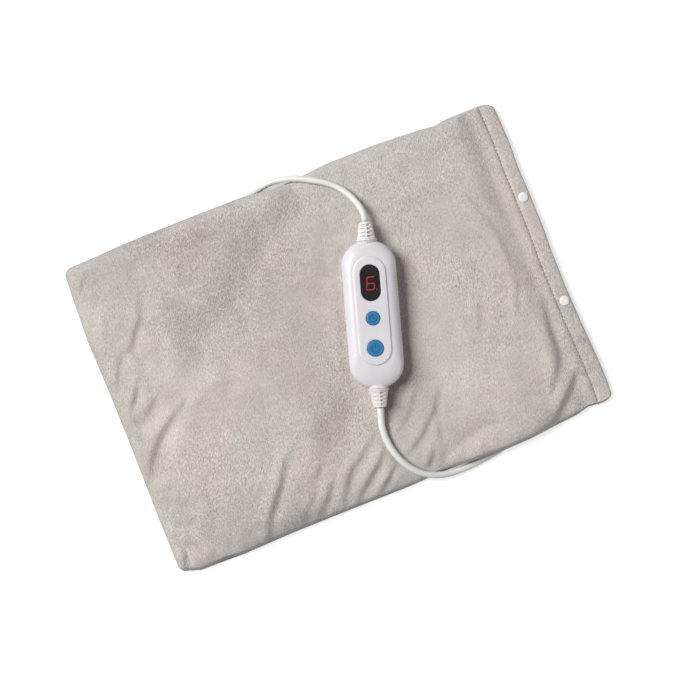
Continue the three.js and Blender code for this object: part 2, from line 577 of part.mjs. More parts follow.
const SNAP_GAP = LAYER_GAP;
const SNAP_EASE = 0.55;
snapPlaces.forEach((place, k) => {
  const name = `snap_${k + 1}`;
  const capRadius = SNAP_CAP_DIAMETER / 2;
  const shank = SNAP_SHANK_DIAMETER / 2;
  const capBase = HEM_THICKNESS + SNAP_EASE;
  const socketTop = UPPER_CLOTH_BOTTOM - SNAP_GAP;
  const socketBase = socketTop - SNAP_DISC_HEIGHT;
  const cap = turned([
    [0, socketTop + SNAP_GAP], [shank, socketTop + SNAP_GAP], [shank, capBase], [capRadius, capBase],
    [capRadius, capBase + SNAP_CAP_EDGE], [capRadius / 2, capBase + SNAP_CAP_HEIGHT],
    [0, capBase + SNAP_CAP_HEIGHT]], SNAP_SEGMENTS);
  const studBase = FLEECE_THICKNESS + SNAP_GAP;
  const studTop = studBase + SNAP_DISC_HEIGHT / 2;
  const knobTop = socketTop - SNAP_GAP;
  const discRadius = SNAP_DISC_DIAMETER / 2;
  const stud = turned([
    [0, studBase], [discRadius, studBase], [discRadius, studTop], [SNAP_KNOB_DIAMETER / 2, studTop],
    [SNAP_KNOB_DIAMETER / 2, knobTop], [0, knobTop]], SNAP_SEGMENTS);
  const ringRadius = SNAP_KNOB_DIAMETER / 2 + SNAP_GAP;
  const socket = turned([
    [ringRadius, socketBase], [discRadius, socketBase], [discRadius, socketTop], [ringRadius, socketTop],
    [ringRadius, socketBase]], SNAP_SEGMENTS);
  const backing = turned([
    [0, studBase - SNAP_GAP], [shank, studBase - SNAP_GAP], [shank, -SNAP_EASE], [capRadius, -SNAP_EASE],
    [capRadius, -SNAP_EASE - SNAP_CAP_EDGE], [0, -SNAP_EASE - SNAP_CAP_EDGE]], SNAP_SEGMENTS);
  addPiece(`${name}_cap`, cap.applyMatrix4(place), whitePlastic);
  addPiece(`${name}_socket`, socket.applyMatrix4(place), whitePlastic);
  addPiece(`${name}_stud`, stud.applyMatrix4(place), whitePlastic);
  addPiece(`${name}_backing_cap`, backing.applyMatrix4(place), whitePlastic);
});

// Inner pad: two felt sheets sewn together round the edge, with the heating wire between them
const isInnerEdge = (i, j) => i === INNER_COLUMNS[0] || i === INNER_COLUMNS[1]
  || j === INNER_ROWS[0] || j === INNER_ROWS[1];
const PAD_EDGE_SHIFT = 1.2;
const innerShift = (i, j) => [
  PAD_EDGE_SHIFT * ((i === INNER_COLUMNS[0]) - (i === INNER_COLUMNS[1])),
  PAD_EDGE_SHIFT * ((j === INNER_ROWS[0]) - (j === INNER_ROWS[1]))];
const lowerSheetBottom = (i, j) => cavityBottom(i, j) + LAYER_GAP;
const lowerSheetTop = (i, j) => lowerSheetBottom(i, j) + FELT_THICKNESS;
const upperSheetBottom = (i, j) => lowerSheetTop(i, j) + (isInnerEdge(i, j) ? LAYER_GAP : WIRE_ZONE);
const upperSheetTop = (i, j) => upperSheetBottom(i, j) + FELT_THICKNESS;
addPiece('inner_pad_lower_sheet',
  cut(layer(INNER_COLUMNS, INNER_ROWS, lowerSheetTop, lowerSheetBottom), [neckHole]), felt);
addPiece('inner_pad_upper_sheet', layer(INNER_COLUMNS, INNER_ROWS, upperSheetTop, upperSheetBottom), felt);

// Heating wire: rows joined by half turns, with its two ends brought to the gland
const TURN_STEPS = 4;
const wireMiddle = (i, j) => lowerSheetTop(i, j) + WIRE_ZONE / 2;
const turnRadius = ROW_SPACING / 2;
const wireRight = columns[INNER_COLUMNS[1] - 1] - turnRadius;
const wireLeft = columns[INNER_COLUMNS[0] + 1] + 2 * turnRadius;
const wirePlaces = [];
const addWirePlace = (u, v) => wirePlaces.push(onLayer(u, v, wireMiddle));
const startRow = rows[INNER_ROWS[1] - 1];
for (let k = 0; k < WIRE_ROWS; k++) {
  const v = startRow - k * ROW_SPACING;
  const toRight = k % 2 === 0;
  const inner = columns.filter((u) => u > wireLeft && u < wireRight);
  const stops = [k === 0 ? glandPlace.x : wireLeft, ...inner.filter((u) => k > 0 || u > glandPlace.x), wireRight];
  if (!toRight) stops.reverse();
  stops.forEach((u) => addWirePlace(u, v));
  if (k === WIRE_ROWS - 1) break;
  for (let n = 1; n < TURN_STEPS; n++) {
    const angle = Math.PI * n / TURN_STEPS;
    const edge = toRight ? wireRight : wireLeft;
    const out = turnRadius * Math.sin(angle) * (toRight ? 1 : -1);
    addWirePlace(edge + out, v - turnRadius * (1 - Math.cos(angle)));
  }
}
const returnColumn = columns[INNER_COLUMNS[0] + 1];
const cornerColumn = columns[INNER_COLUMNS[0] + 2];
const endRow = rows[INNER_ROWS[0] + 1];
addWirePlace(cornerColumn, endRow);
addWirePlace((returnColumn + cornerColumn) / 2, endRow + turnRadius);
for (let j = INNER_ROWS[0] + 2; j < INNER_ROWS[1] - 1; j++) addWirePlace(returnColumn, rows[j]);
for (let i = INNER_COLUMNS[0] + 2; columns[i] < glandPlace.x - GLAND_NECK_DIAMETER; i++) {
  addWirePlace(columns[i], startRow);
}
addWirePlace(glandPlace.x - GLAND_NECK_DIAMETER, startRow);

// A tube swept along its places, with level sides, capped at both ends
function sweptTube(places, radius, sides) {
  const rings = places.map((place, k) => {
    const before = places[Math.max(k - 1, 0)];
    const after = places[Math.min(k + 1, places.length - 1)];
    const tangent = after.clone().sub(before).normalize();
    const side = new THREE.Vector3(-tangent.y, tangent.x, 0).normalize();
    const up = tangent.clone().cross(side);
    return Array.from({ length: sides }, (_, n) => {
      const angle = (n + 0.5) * 2 * Math.PI / sides;
      return place.clone().addScaledVector(side, radius * Math.cos(angle))
        .addScaledVector(up, radius * Math.sin(angle));
    });
  });
  return loft(rings);
}
const WIRE_SIDES = 5;
addPiece('heating_wire', sweptTube(wirePlaces, WIRE_DIAMETER / 2, WIRE_SIDES), wireJacket);

// Overheat cut-out, taped to the lower sheet between two rows of wire
const CUTOUT_LENGTH = 14;
const CUTOUT_WIDTH = 6;
const CUTOUT_HEIGHT = WIRE_ZONE - 2 * SEAT_GAP;
const cutoutPlace = onLayer(columns[INNER_COLUMNS[1] - 4], 0, lowerSheetTop);
addPiece('overheat_cutout', box(CUTOUT_LENGTH, CUTOUT_WIDTH, SEAT_GAP, SEAT_GAP + CUTOUT_HEIGHT)
  .translate(cutoutPlace.x, cutoutPlace.y, cutoutPlace.z), blackPlastic);

// Gland: a flat boot under the cover with a neck up into the inner pad
const GLAND_BOOT_WIDTH = 15;
const padLeadEnd = PAD_LEAD_ROUTE[PAD_LEAD_ROUTE.length - 1];
const bootVector = new THREE.Vector2(padLeadEnd[0] - glandPlace.x, padLeadEnd[1] - glandPlace.y);
const BOOT_LENGTH = bootVector.length() - SEAT_GAP;
const BOOT_END_RADIUS = GLAND_BOOT_WIDTH / 2;
const bootRing = (along, halfWidth, halfHeight) => Array.from({ length: 12 }, (_, n) => {
  const angle = n * Math.PI / 6;
  const flatten = 1 / Math.max(Math.abs(Math.cos(angle)), Math.abs(Math.sin(angle))) ** 0.6;
  return new THREE.Vector3(
    along, halfWidth * flatten * Math.cos(angle) , GLAND_HEIGHT / 2 + halfHeight * Math.sin(angle));
});
const leadHalf = PAD_LEAD_DIAMETER / 2;
const boot = loft([
  bootRing(-BOOT_END_RADIUS, BOOT_END_RADIUS / 2, GLAND_HEIGHT / 3),
  bootRing(-BOOT_END_RADIUS / 2, BOOT_END_RADIUS * 0.85, GLAND_HEIGHT / 2),
  bootRing(BOOT_LENGTH / 3, BOOT_END_RADIUS, GLAND_HEIGHT / 2),
  bootRing(BOOT_LENGTH / 2, BOOT_END_RADIUS * 0.75, GLAND_HEIGHT / 2),
  bootRing(BOOT_LENGTH, leadHalf * 1.15, leadHalf * 1.1),
]);
const neckTop = GLAND_LIFT + FLEECE_THICKNESS + LAYER_GAP + FELT_THICKNESS + WIRE_ZONE - SEAT_GAP - SEAT_GAP;
const neck = cylinder(GLAND_NECK_DIAMETER, GLAND_HEIGHT / 2, neckTop, 16);
addPiece('pad_lead_gland', join([boot, neck])
  .rotateZ(bootVector.angle()).translate(glandPlace.x, glandPlace.y, SEAT_GAP), whiteRubber);

// Leads
addPiece('pad_lead', cord(PAD_LEAD_ROUTE, PAD_LEAD_DIAMETER), whiteRubber);
addPiece('mains_lead', cord(MAINS_LEAD_ROUTE, MAINS_LEAD_DIAMETER), whiteRubber);
addPiece('mains_lead_tail', cord(tailRoute, MAINS_LEAD_DIAMETER), whiteRubber);

// Coil: spirals in on the lower layer, climbs where it reverses, and spirals out on the upper one
const COIL_STEPS = 24;
const COIL_SIDES = 6;
const CLIMB_TURNS = 0.5;
const coilPlaces = [coilStart.clone()];
for (let n = 0; n <= COIL_TURNS * COIL_STEPS; n++) {
  const turn = n / COIL_STEPS;
  const fromMiddle = Math.abs(turn - COIL_TURNS / 2);
  const radius = COIL_OUTER_RADIUS - COIL_PITCH * (COIL_TURNS / 2 - fromMiddle);
  const angle = -Math.PI / 2 - 2 * Math.PI * turn;
  const climb = ease((turn - COIL_TURNS / 2) / CLIMB_TURNS + 1 / 2);
  coilPlaces.push(new THREE.Vector3(
    coilCentre.x + radius * Math.cos(angle), coilCentre.y + radius * Math.sin(angle),
    coilStart.z + COIL_PITCH * climb));
}
coilPlaces.push(coilEnd.clone());
let leastGap = Infinity;
for (let a = 0; a < coilPlaces.length; a++) {
  for (let b = a + COIL_STEPS / 2; b < coilPlaces.length; b++) {
    leastGap = Math.min(leastGap, coilPlaces[a].distanceTo(coilPlaces[b]) - MAINS_LEAD_DIAMETER);
  }
}
console.log(`mains_lead_coil: least gap to itself ${leastGap.toFixed(2)} mm`);
addPiece('mains_lead_coil', sweptTube(coilPlaces, MAINS_RADIUS, COIL_SIDES), whiteRubber);

// Tie: a thin strap round the bundle of turns, on the far side of the coil from the lead
const tieInner = COIL_OUTER_RADIUS - COIL_SPREAD - MAINS_RADIUS - SEAT_GAP;
const tieOuter = COIL_OUTER_RADIUS + MAINS_RADIUS + SEAT_GAP;
const tieSpan = tieOuter - tieInner;
const tieShape = (reach, bottom, top) => box(tieSpan + 2 * reach, TIE_WIDTH, bottom, top)
  .translate((tieInner + tieOuter) / 2, 0, 0);
const tie = cut(
  tieShape(TIE_THICKNESS, 0, COIL_TOP + SEAT_GAP + TIE_THICKNESS),
  [tieShape(0, TIE_THICKNESS, COIL_TOP + SEAT_GAP).scale(1, 2, 1)]);
addPiece('coil_tie', tie.rotateZ(Math.PI / 4).translate(coilCentre.x, coilCentre.y, 0), blackPlastic);

// Plug: moulded body, tapered relief and two half-sleeved pins, lying flat
const PLUG_SEGMENTS = 8;
const plugRing = (along, halfWidth, halfHeight) => [1, -1].flatMap(
  (side) => Array.from({ length: PLUG_SEGMENTS + 1 }, (_, k) => {
    const angle = Math.PI * (k / PLUG_SEGMENTS - side / 2);
    const x = side * (halfWidth - halfHeight) + halfHeight * Math.cos(angle);
    return new THREE.Vector3(x, along, halfHeight * Math.sin(angle));
  }));
const halfPlug = PLUG_THICKNESS / 2;
const plugBodyShape = loft([
  plugRing(0, PLUG_WIDTH * 0.25, halfPlug * 0.8),
  plugRing(PLUG_LENGTH * 0.12, PLUG_WIDTH * 0.33, halfPlug * 0.92),
  plugRing(PLUG_LENGTH * 0.5, PLUG_WIDTH * 0.44, halfPlug),
  plugRing(PLUG_LENGTH * 0.8, PLUG_WIDTH * 0.5, halfPlug),
  plugRing(PLUG_LENGTH, PLUG_WIDTH * 0.5, halfPlug * 0.94),
]);
const PIN_ROOT = 7;
const PIN_CORE_DIAMETER = 2.6;
const PIN_SLEEVE_LENGTH = 10;
const PIN_TIP_CHAMFER = 1;
const pinProfile = [
  [0, -PIN_ROOT], [PIN_CORE_DIAMETER / 2, -PIN_ROOT], [PIN_CORE_DIAMETER / 2, PIN_SLEEVE_LENGTH + SEAT_GAP],
  [PIN_DIAMETER / 2, PIN_SLEEVE_LENGTH + SEAT_GAP], [PIN_DIAMETER / 2, PIN_LENGTH - PIN_TIP_CHAMFER],
  [PIN_DIAMETER / 2 - PIN_TIP_CHAMFER, PIN_LENGTH], [0, PIN_LENGTH]];
const sleeveBore = PIN_CORE_DIAMETER / 2 + SHELL_GAP;
const sleeveProfile = [
  [sleeveBore, SEAT_GAP], [PIN_DIAMETER / 2, SEAT_GAP], [PIN_DIAMETER / 2, PIN_SLEEVE_LENGTH],
  [sleeveBore, PIN_SLEEVE_LENGTH], [sleeveBore, SEAT_GAP]];
const PIN_SEGMENTS = 12;
const alongY = (geometry) => geometry.rotateX(-Math.PI / 2);
const plug = new THREE.Group();
plug.position.copy(plugPlace);
const pinHoles = [];
[-1, 1].forEach((side, k) => {
  const x = side * PIN_SPACING / 2;
  pinHoles.push(alongY(cylinder(2 * sleeveBore, -PIN_ROOT - SEAT_GAP, OVERRUN, PIN_SEGMENTS))
    .translate(x, PLUG_LENGTH, 0));
  addPiece(`plug_pin_${k + 1}`, alongY(turned(pinProfile, PIN_SEGMENTS)).translate(x, PLUG_LENGTH, 0), brass, plug);
  addPiece(`plug_pin_sleeve_${k + 1}`,
    alongY(turned(sleeveProfile, PIN_SEGMENTS)).translate(x, PLUG_LENGTH, 0), blackPlastic, plug);
});
addPiece('plug_body', cut(plugBodyShape, pinHoles), whiteRubber, plug);
const RELIEF_RIB_COUNT = 4;
const PLUG_RELIEF_BASE = 10;
const plugReliefTip = MAINS_LEAD_DIAMETER / 2 * 1.25;
const plugReliefRise = PLUG_RELIEF_BASE / 2 - plugReliefTip;
const plugReliefProfile = [[0, -PLUG_RELIEF_LENGTH]];
for (let k = 0; k < RELIEF_RIB_COUNT; k++) {
  const start = k / RELIEF_RIB_COUNT;
  const radius = plugReliefTip + plugReliefRise * start;
  const place = (share) => -PLUG_RELIEF_LENGTH + (PLUG_RELIEF_LENGTH - SEAT_GAP) * share / RELIEF_RIB_COUNT;
  plugReliefProfile.push([radius, place(k)], [radius, place(k + 0.6)], [radius * 0.85, place(k + 0.62)]);
  plugReliefProfile.push([radius * 0.85, place(k + 0.98)]);
}
plugReliefProfile.push([PLUG_RELIEF_BASE / 2, -SEAT_GAP - OVERRUN], [PLUG_RELIEF_BASE / 2, -SEAT_GAP], [0, -SEAT_GAP]);
addPiece('plug_strain_relief', alongY(turned(plugReliefProfile, PIN_SEGMENTS)), whiteRubber, plug);
part.add(plug);

// Hand controller, in its own frame: Y towards the pad lead, Z from its base
const controller = new THREE.Group();
controller.position.set(CONTROLLER_X, CONTROLLER_Y, PAD_THICKNESS + SEAT_GAP);
controller.rotation.z = controllerTurn;
part.add(controller);

const ARC_STEPS = 6;
const PARTING = BASE_HEIGHT;
const ROOF = BASE_HEIGHT + TOP_HEIGHT;
const SIDE_RISE = 2;
const LENGTH_INSET_SHARE = (CONTROLLER_LENGTH - PANEL_LENGTH) / (CONTROLLER_WIDTH - PANEL_WIDTH);
const BASE_EDGE = 7;
const shellRing = (inset, lengthInset, z) => roundedRing(
  CONTROLLER_WIDTH / 2 - inset, CONTROLLER_LENGTH / 2 - lengthInset,
  CORNER_RADIUS_TOP - inset * 0.45, CORNER_RADIUS_BOTTOM - inset * 0.7, z, ARC_STEPS);
const DOME_ANGLES_SHARES = [0.18, 0.38, 0.58, 0.78, 1];
const domeInset = (CONTROLLER_WIDTH - PANEL_WIDTH) / 2;
function domeRings(wall, bottom) {
  const rings = [shellRing(wall, wall, bottom), shellRing(wall, wall, PARTING + SIDE_RISE)];
  for (const share of DOME_ANGLES_SHARES) {
    const angle = share * Math.PI / 2;
    const inset = domeInset * (1 - Math.cos(angle));
    const z = PARTING + SIDE_RISE + (TOP_HEIGHT - SIDE_RISE - wall) * Math.sin(angle);
    rings.push(shellRing(inset + wall, inset * LENGTH_INSET_SHARE + wall, z));
  }
  return rings;
}
const panelRing = (inset, z) => roundedRing(PANEL_WIDTH / 2 - inset, PANEL_LENGTH / 2 - inset,
  PANEL_WIDTH / 2 - inset, PANEL_WIDTH / 2 - inset, z, ARC_STEPS, PANEL_OFFSET);
const PANEL_TOP = ROOF + PANEL_RAISE;
const panel = loft([
  panelRing(0, ROOF - SHELL_WALL), panelRing(0, ROOF + PANEL_RAISE / 4),
  panelRing(PANEL_BEVEL / 2, PANEL_TOP - PANEL_RAISE / 6), panelRing(PANEL_BEVEL, PANEL_TOP)]);

// Screw posts
const SCREW_SIDE_ROOM = 8.5;
const SCREW_X = CONTROLLER_WIDTH / 2 - SCREW_SIDE_ROOM;
const SCREW_Y = SCREW_PLACE_SHARE * CONTROLLER_LENGTH;
const POST_DIAMETER = 6.4;
const PILOT_DIAMETER = 2;
const SCREW_DIAMETER = 2.6;
const SCREW_HEAD_DIAMETER = 4.6;
const SCREW_HEAD_HEIGHT = 1.8;
const SCREW_LENGTH = 13;
const HEAD_SEAT = 3;
const POST_SEGMENTS = 12;
const screwPlaces = [[1, 1], [-1, 1], [-1, -1], [1, -1]].map(([x, y]) => [x * SCREW_X, y * SCREW_Y]);

// Round seats for the strain reliefs in both end walls
const NECK_DIAMETER = 9.6;
const FLANGE_DIAMETER = 12;
const FLANGE_THICKNESS = 2;
const RELIEF_CLEARANCE = 0.3;
const NECK_LENGTH = 4.9;
const HALF_BODY = CONTROLLER_LENGTH / 2;
const neckHoles = [1, -1].map((side) => alongY(cylinder(
  NECK_DIAMETER + 2 * RELIEF_CLEARANCE, -2 * NECK_LENGTH, 2 * NECK_LENGTH, 16)).translate(0, side * HALF_BODY, PARTING));

const LENS_LEDGE = 1.2;
const LENS_THICKNESS = 1.6;
const windowPocket = obround(
  DISPLAY_WIDTH, DISPLAY_LENGTH, PANEL_TOP - LENS_THICKNESS - SHELL_GAP, PANEL_TOP + OVERRUN, DISPLAY_OFFSET);
const windowOpening = obround(
  DISPLAY_WIDTH - 2 * LENS_LEDGE, DISPLAY_LENGTH - 2 * LENS_LEDGE, PARTING, PANEL_TOP, DISPLAY_OFFSET);
const BUTTON_SEGMENTS = 24;
const buttons = [
  { name: 'timer', diameter: TIMER_BUTTON_DIAMETER, y: TIMER_BUTTON_OFFSET },
  { name: 'power', diameter: POWER_BUTTON_DIAMETER, y: POWER_BUTTON_OFFSET },
];
const buttonHoles = buttons.map((button) => cylinder(
  button.diameter + 2 * BUTTON_CLEARANCE, PARTING, PANEL_TOP + OVERRUN, BUTTON_SEGMENTS, 0, button.y));

const topPosts = screwPlaces.map(
  ([x, y]) => cylinder(POST_DIAMETER, PARTING + SHELL_GAP, ROOF - 1.6 * SHELL_WALL, POST_SEGMENTS, x, y));
const pilotHoles = screwPlaces.map(
  ([x, y]) => cylinder(SCREW_DIAMETER + 2 * RELIEF_CLEARANCE, PARTING - OVERRUN, HEAD_SEAT + SCREW_LENGTH + SHELL_WALL,
    POST_SEGMENTS, x, y));
const topCavity = loft(domeRings(SHELL_WALL, PARTING - OVERRUN));
const topBlank = cut(join([loft(domeRings(0, PARTING + SHELL_GAP)), panel]), [topCavity]);
addPiece('controller_top_shell', cut(join([topBlank, ...topPosts]),
  [...pilotHoles, ...neckHoles, windowPocket, windowOpening, ...buttonHoles]), whitePlastic, controller);

const baseRings = (wall, top) => [
  shellRing(BASE_EDGE * 0.8 + wall, BASE_EDGE * 0.8 + wall, wall),
  shellRing(BASE_EDGE * 0.3 + wall, BASE_EDGE * 0.3 + wall, wall + BASE_EDGE * 0.25),
  shellRing(wall, wall, BASE_EDGE * 0.8 + wall / 2),
  shellRing(wall, wall, top)];
const basePosts = screwPlaces.map(([x, y]) => cylinder(
  POST_DIAMETER + SHELL_WALL, SHELL_WALL / 2, PARTING, POST_SEGMENTS, x, y));
const headWells = screwPlaces.map(([x, y]) => cylinder(
  SCREW_HEAD_DIAMETER + 2 * RELIEF_CLEARANCE, -OVERRUN, HEAD_SEAT, POST_SEGMENTS, x, y));
const shankWells = screwPlaces.map(([x, y]) => cylinder(
  SCREW_DIAMETER + 2 * RELIEF_CLEARANCE, -OVERRUN, PARTING + OVERRUN, POST_SEGMENTS, x, y));

// Board posts stand on the base between the screw posts
const BOARD_THICKNESS = 1.6;
const BOARD_SIDE_ROOM = 5;
const BOARD_WIDTH = CONTROLLER_WIDTH - 2 * BOARD_SIDE_ROOM;
const BOARD_LENGTH = BOARD_LENGTH_SHARE * CONTROLLER_LENGTH;
const BOARD_TOP = PARTING + BOARD_THICKNESS / 4;
const BOARD_POST_DIAMETER = 4;
const boardPostPlaces = [[1, 1], [-1, 1], [-1, -1], [1, -1]].map(
  ([x, y]) => [x * (BOARD_WIDTH / 2 - BOARD_POST_DIAMETER), y * (BOARD_LENGTH / 2 - BOARD_POST_DIAMETER)]);
const boardPosts = boardPostPlaces.map(([x, y]) => cylinder(
  BOARD_POST_DIAMETER, SHELL_WALL / 2, BOARD_TOP - BOARD_THICKNESS - SEAT_GAP, POST_SEGMENTS, x, y));
const baseBlank = cut(loft(baseRings(0, PARTING)), [loft(baseRings(SHELL_WALL, PARTING + OVERRUN))]);
addPiece('controller_base_shell', cut(join([baseBlank, ...basePosts, ...boardPosts]),
  [...headWells, ...shankWells, ...neckHoles]), whitePlastic, controller);

screwPlaces.forEach(([x, y], k) => {
  const headTop = HEAD_SEAT - SHELL_GAP;
  addPiece(`housing_screw_${k + 1}`, turned([
    [0, headTop - SCREW_HEAD_HEIGHT], [SCREW_HEAD_DIAMETER / 2, headTop - SCREW_HEAD_HEIGHT / 2],
    [SCREW_HEAD_DIAMETER / 2, headTop], [SCREW_DIAMETER / 2, headTop],
    [SCREW_DIAMETER / 2, headTop + SCREW_LENGTH - PILOT_DIAMETER], [0, headTop + SCREW_LENGTH]], POST_SEGMENTS)
    .translate(x, y, 0), steel, controller);
});

// Display lens, glued on the ledge of its window
addPiece('display_lens', loft([
  roundedRing(DISPLAY_WIDTH / 2 - SHELL_GAP, DISPLAY_LENGTH / 2 - SHELL_GAP, DISPLAY_WIDTH / 2, DISPLAY_WIDTH / 2,
    PANEL_TOP - LENS_THICKNESS, ARC_STEPS, DISPLAY_OFFSET),
  roundedRing(DISPLAY_WIDTH / 2 - SHELL_GAP, DISPLAY_LENGTH / 2 - SHELL_GAP, DISPLAY_WIDTH / 2, DISPLAY_WIDTH / 2,
    PANEL_TOP - SHELL_GAP, ARC_STEPS, DISPLAY_OFFSET),
  roundedRing(DISPLAY_WIDTH / 2 - 3 * SHELL_GAP, DISPLAY_LENGTH / 2 - 3 * SHELL_GAP, DISPLAY_WIDTH / 2,
    DISPLAY_WIDTH / 2, PANEL_TOP, ARC_STEPS, DISPLAY_OFFSET),
]), blackLens, controller);

// Circuit board and what stands on it
addPiece('circuit_board', box(BOARD_WIDTH, BOARD_LENGTH, BOARD_TOP - BOARD_THICKNESS, BOARD_TOP),
  boardGreen, controller);
const MODULE_WIDTH = 12.6;
const MODULE_LENGTH = 19;
const moduleTop = ROOF - SHELL_WALL - SEAT_GAP;
const MODULE_LIP_SHARE = 0.94;
addPiece('display_module', join([
  box(MODULE_WIDTH, MODULE_LENGTH, BOARD_TOP + SEAT_GAP, moduleTop - LENS_LEDGE, 0, DISPLAY_OFFSET),
  box(MODULE_WIDTH * MODULE_LIP_SHARE, MODULE_LENGTH * MODULE_LIP_SHARE, moduleTop - 2 * LENS_LEDGE, moduleTop,
    0, DISPLAY_OFFSET)]), blackPlastic, controller);

// Push buttons with a retaining flange and a stem, over their switches
const FLANGE_LIP = 1.2;
const FLANGE_HEIGHT = 1;
const SWITCH_SIZE = 6;
const SWITCH_HEIGHT = 3.4;
const PLUNGER_DIAMETER = 3.4;
const PLUNGER_PROUD = 1.5;
const PLUNGER_DEPTH = 1.6;
const STEM_DIAMETER = 4;
const BUTTON_EDGE = 0.8;
for (const button of buttons) {
  const radius = button.diameter / 2;
  const flangeTop = ROOF - SHELL_WALL - SHELL_GAP;
  const plungerTop = BOARD_TOP + SEAT_GAP + SWITCH_HEIGHT + PLUNGER_PROUD;
  const capTop = PANEL_TOP + BUTTON_PROUD;
  addPiece(`${button.name}_button`, turned([
    [0, plungerTop + SEAT_GAP], [STEM_DIAMETER / 2, plungerTop + SEAT_GAP],
    [STEM_DIAMETER / 2, flangeTop - FLANGE_HEIGHT], [radius + FLANGE_LIP, flangeTop - FLANGE_HEIGHT],
    [radius + FLANGE_LIP, flangeTop], [radius, flangeTop], [radius, capTop - BUTTON_EDGE / 2],
    [radius - BUTTON_EDGE / 2, capTop - BUTTON_EDGE / 8], [radius - 2 * BUTTON_EDGE, capTop], [0, capTop]],
  BUTTON_SEGMENTS).translate(0, button.y, 0), bluePlastic, controller);
  const bodyTop = BOARD_TOP + SEAT_GAP + SWITCH_HEIGHT;
  addPiece(`${button.name}_switch_body`, cut(
    box(SWITCH_SIZE, SWITCH_SIZE, BOARD_TOP + SEAT_GAP, bodyTop, 0, button.y),
    [cylinder(PLUNGER_DIAMETER + 2 * SHELL_GAP, bodyTop - PLUNGER_DEPTH - 2 * SHELL_GAP - SHELL_WALL / 2,
      bodyTop + OVERRUN, POST_SEGMENTS, 0, button.y)]), blackPlastic, controller);
  addPiece(`${button.name}_switch_plunger`,
    cylinder(PLUNGER_DIAMETER, bodyTop - PLUNGER_DEPTH, plungerTop, POST_SEGMENTS, 0, button.y), steel, controller);
}

// Mains parts under and beside the switches
const under = BOARD_TOP - BOARD_THICKNESS - SEAT_GAP;
const UNDER_HEIGHT = under - SHELL_WALL - SEAT_GAP - SEAT_GAP;
const FUSE_DIAMETER = 5.2;
const FUSE_LENGTH = 20;
const FILM_WIDTH = 13;
const FILM_LENGTH = 6;
const TRIAC_WIDTH = 10;
const TRIAC_LENGTH = 15;
const TRIAC_THICKNESS = 4.4;
const CHIP_WIDTH = 6;
const CHIP_LENGTH = 10;
const CHIP_HEIGHT = 1.7;
const SMOOTHING_DIAMETER = 6.3;
const SMOOTHING_LENGTH = 11;
const COMPONENT_SPACING = COMPONENT_SPACING_SHARE * CONTROLLER_LENGTH;
addPiece('fuse', new THREE.CylinderGeometry(FUSE_DIAMETER / 2, FUSE_DIAMETER / 2, FUSE_LENGTH, 12)
  .rotateZ(Math.PI / 2).translate(0, -2 * COMPONENT_SPACING, under - FUSE_DIAMETER / 2), material(0xd8dde0, 0.1),
controller);
addPiece('film_capacitor', box(FILM_WIDTH, FILM_LENGTH, under - UNDER_HEIGHT, under, 0, -COMPONENT_SPACING), redEpoxy,
  controller);
addPiece('smoothing_capacitor', new THREE.CylinderGeometry(
  SMOOTHING_DIAMETER / 2, SMOOTHING_DIAMETER / 2, SMOOTHING_LENGTH, 12)
  .translate(-COMPONENT_SPACING / 2, COMPONENT_SPACING / 2, under - SMOOTHING_DIAMETER / 2), blackPlastic, controller);
addPiece('triac', box(TRIAC_WIDTH, TRIAC_LENGTH, under - TRIAC_THICKNESS, under, COMPONENT_SPACING / 2,
  COMPONENT_SPACING), blackPlastic, controller);
addPiece('control_chip', box(CHIP_WIDTH, CHIP_LENGTH, BOARD_TOP + SEAT_GAP, BOARD_TOP + SEAT_GAP + CHIP_HEIGHT,
  COMPONENT_SPACING, -1.6 * COMPONENT_SPACING), blackPlastic, controller);

// Strain reliefs: a flange and neck held between the shells, and a tapered, slotted sleeve outside
const SLOT_WIDTH = 1.6;
const SLOT_CORE_SHARE = 0.62;
const SPINE_WIDTH = 1.6;
const COLLAR_LENGTH = 2.2;
function strainRelief(leadDiameter) {
  const neckStart = -NECK_LENGTH;
  const sleeve = turned([
    [0, neckStart - FLANGE_THICKNESS], [FLANGE_DIAMETER / 2, neckStart - FLANGE_THICKNESS],
    [FLANGE_DIAMETER / 2, neckStart], [NECK_DIAMETER / 2, neckStart], [NECK_DIAMETER / 2, RELIEF_CLEARANCE],
    [RELIEF_BASE_DIAMETER / 2, RELIEF_CLEARANCE], [RELIEF_BASE_DIAMETER / 2 * 0.97, COLLAR_LENGTH / 2],
    [RELIEF_BASE_DIAMETER / 2 * 0.88, COLLAR_LENGTH],
    [RELIEF_TIP_DIAMETER / 2, RELIEF_LENGTH - COLLAR_LENGTH / 3],
    [(RELIEF_TIP_DIAMETER + leadDiameter) / 4 + SEAT_GAP, RELIEF_LENGTH], [0, RELIEF_LENGTH]], 20);
  const slots = [];
  const pitch = (RELIEF_LENGTH - 1.6 * COLLAR_LENGTH) / RELIEF_SLOT_ROWS;
  for (let row = 0; row < RELIEF_SLOT_ROWS; row++) {
    const along = 1.2 * COLLAR_LENGTH + pitch * row;
    const share = along / RELIEF_LENGTH;
    const radius = (RELIEF_BASE_DIAMETER * 0.88 * (1 - share) + RELIEF_TIP_DIAMETER * share) / 2;
    for (const sideX of [-1, 1]) {
      for (const sideY of [-1, 1]) {
        slots.push(new THREE.BoxGeometry(radius, radius, SLOT_WIDTH).translate(
          sideX * (radius + SPINE_WIDTH) / 2, sideY * (radius * SLOT_CORE_SHARE + radius / 2), along + SLOT_WIDTH / 2));
      }
    }
  }
  return alongY(cut(sleeve, slots));
}
addPiece('pad_lead_strain_relief', strainRelief(PAD_LEAD_DIAMETER).translate(0, HALF_BODY, PARTING), whiteRubber,
  controller);
addPiece('mains_lead_strain_relief', strainRelief(MAINS_LEAD_DIAMETER).rotateZ(Math.PI)
  .translate(0, -HALF_BODY, PARTING), whiteRubber, controller);

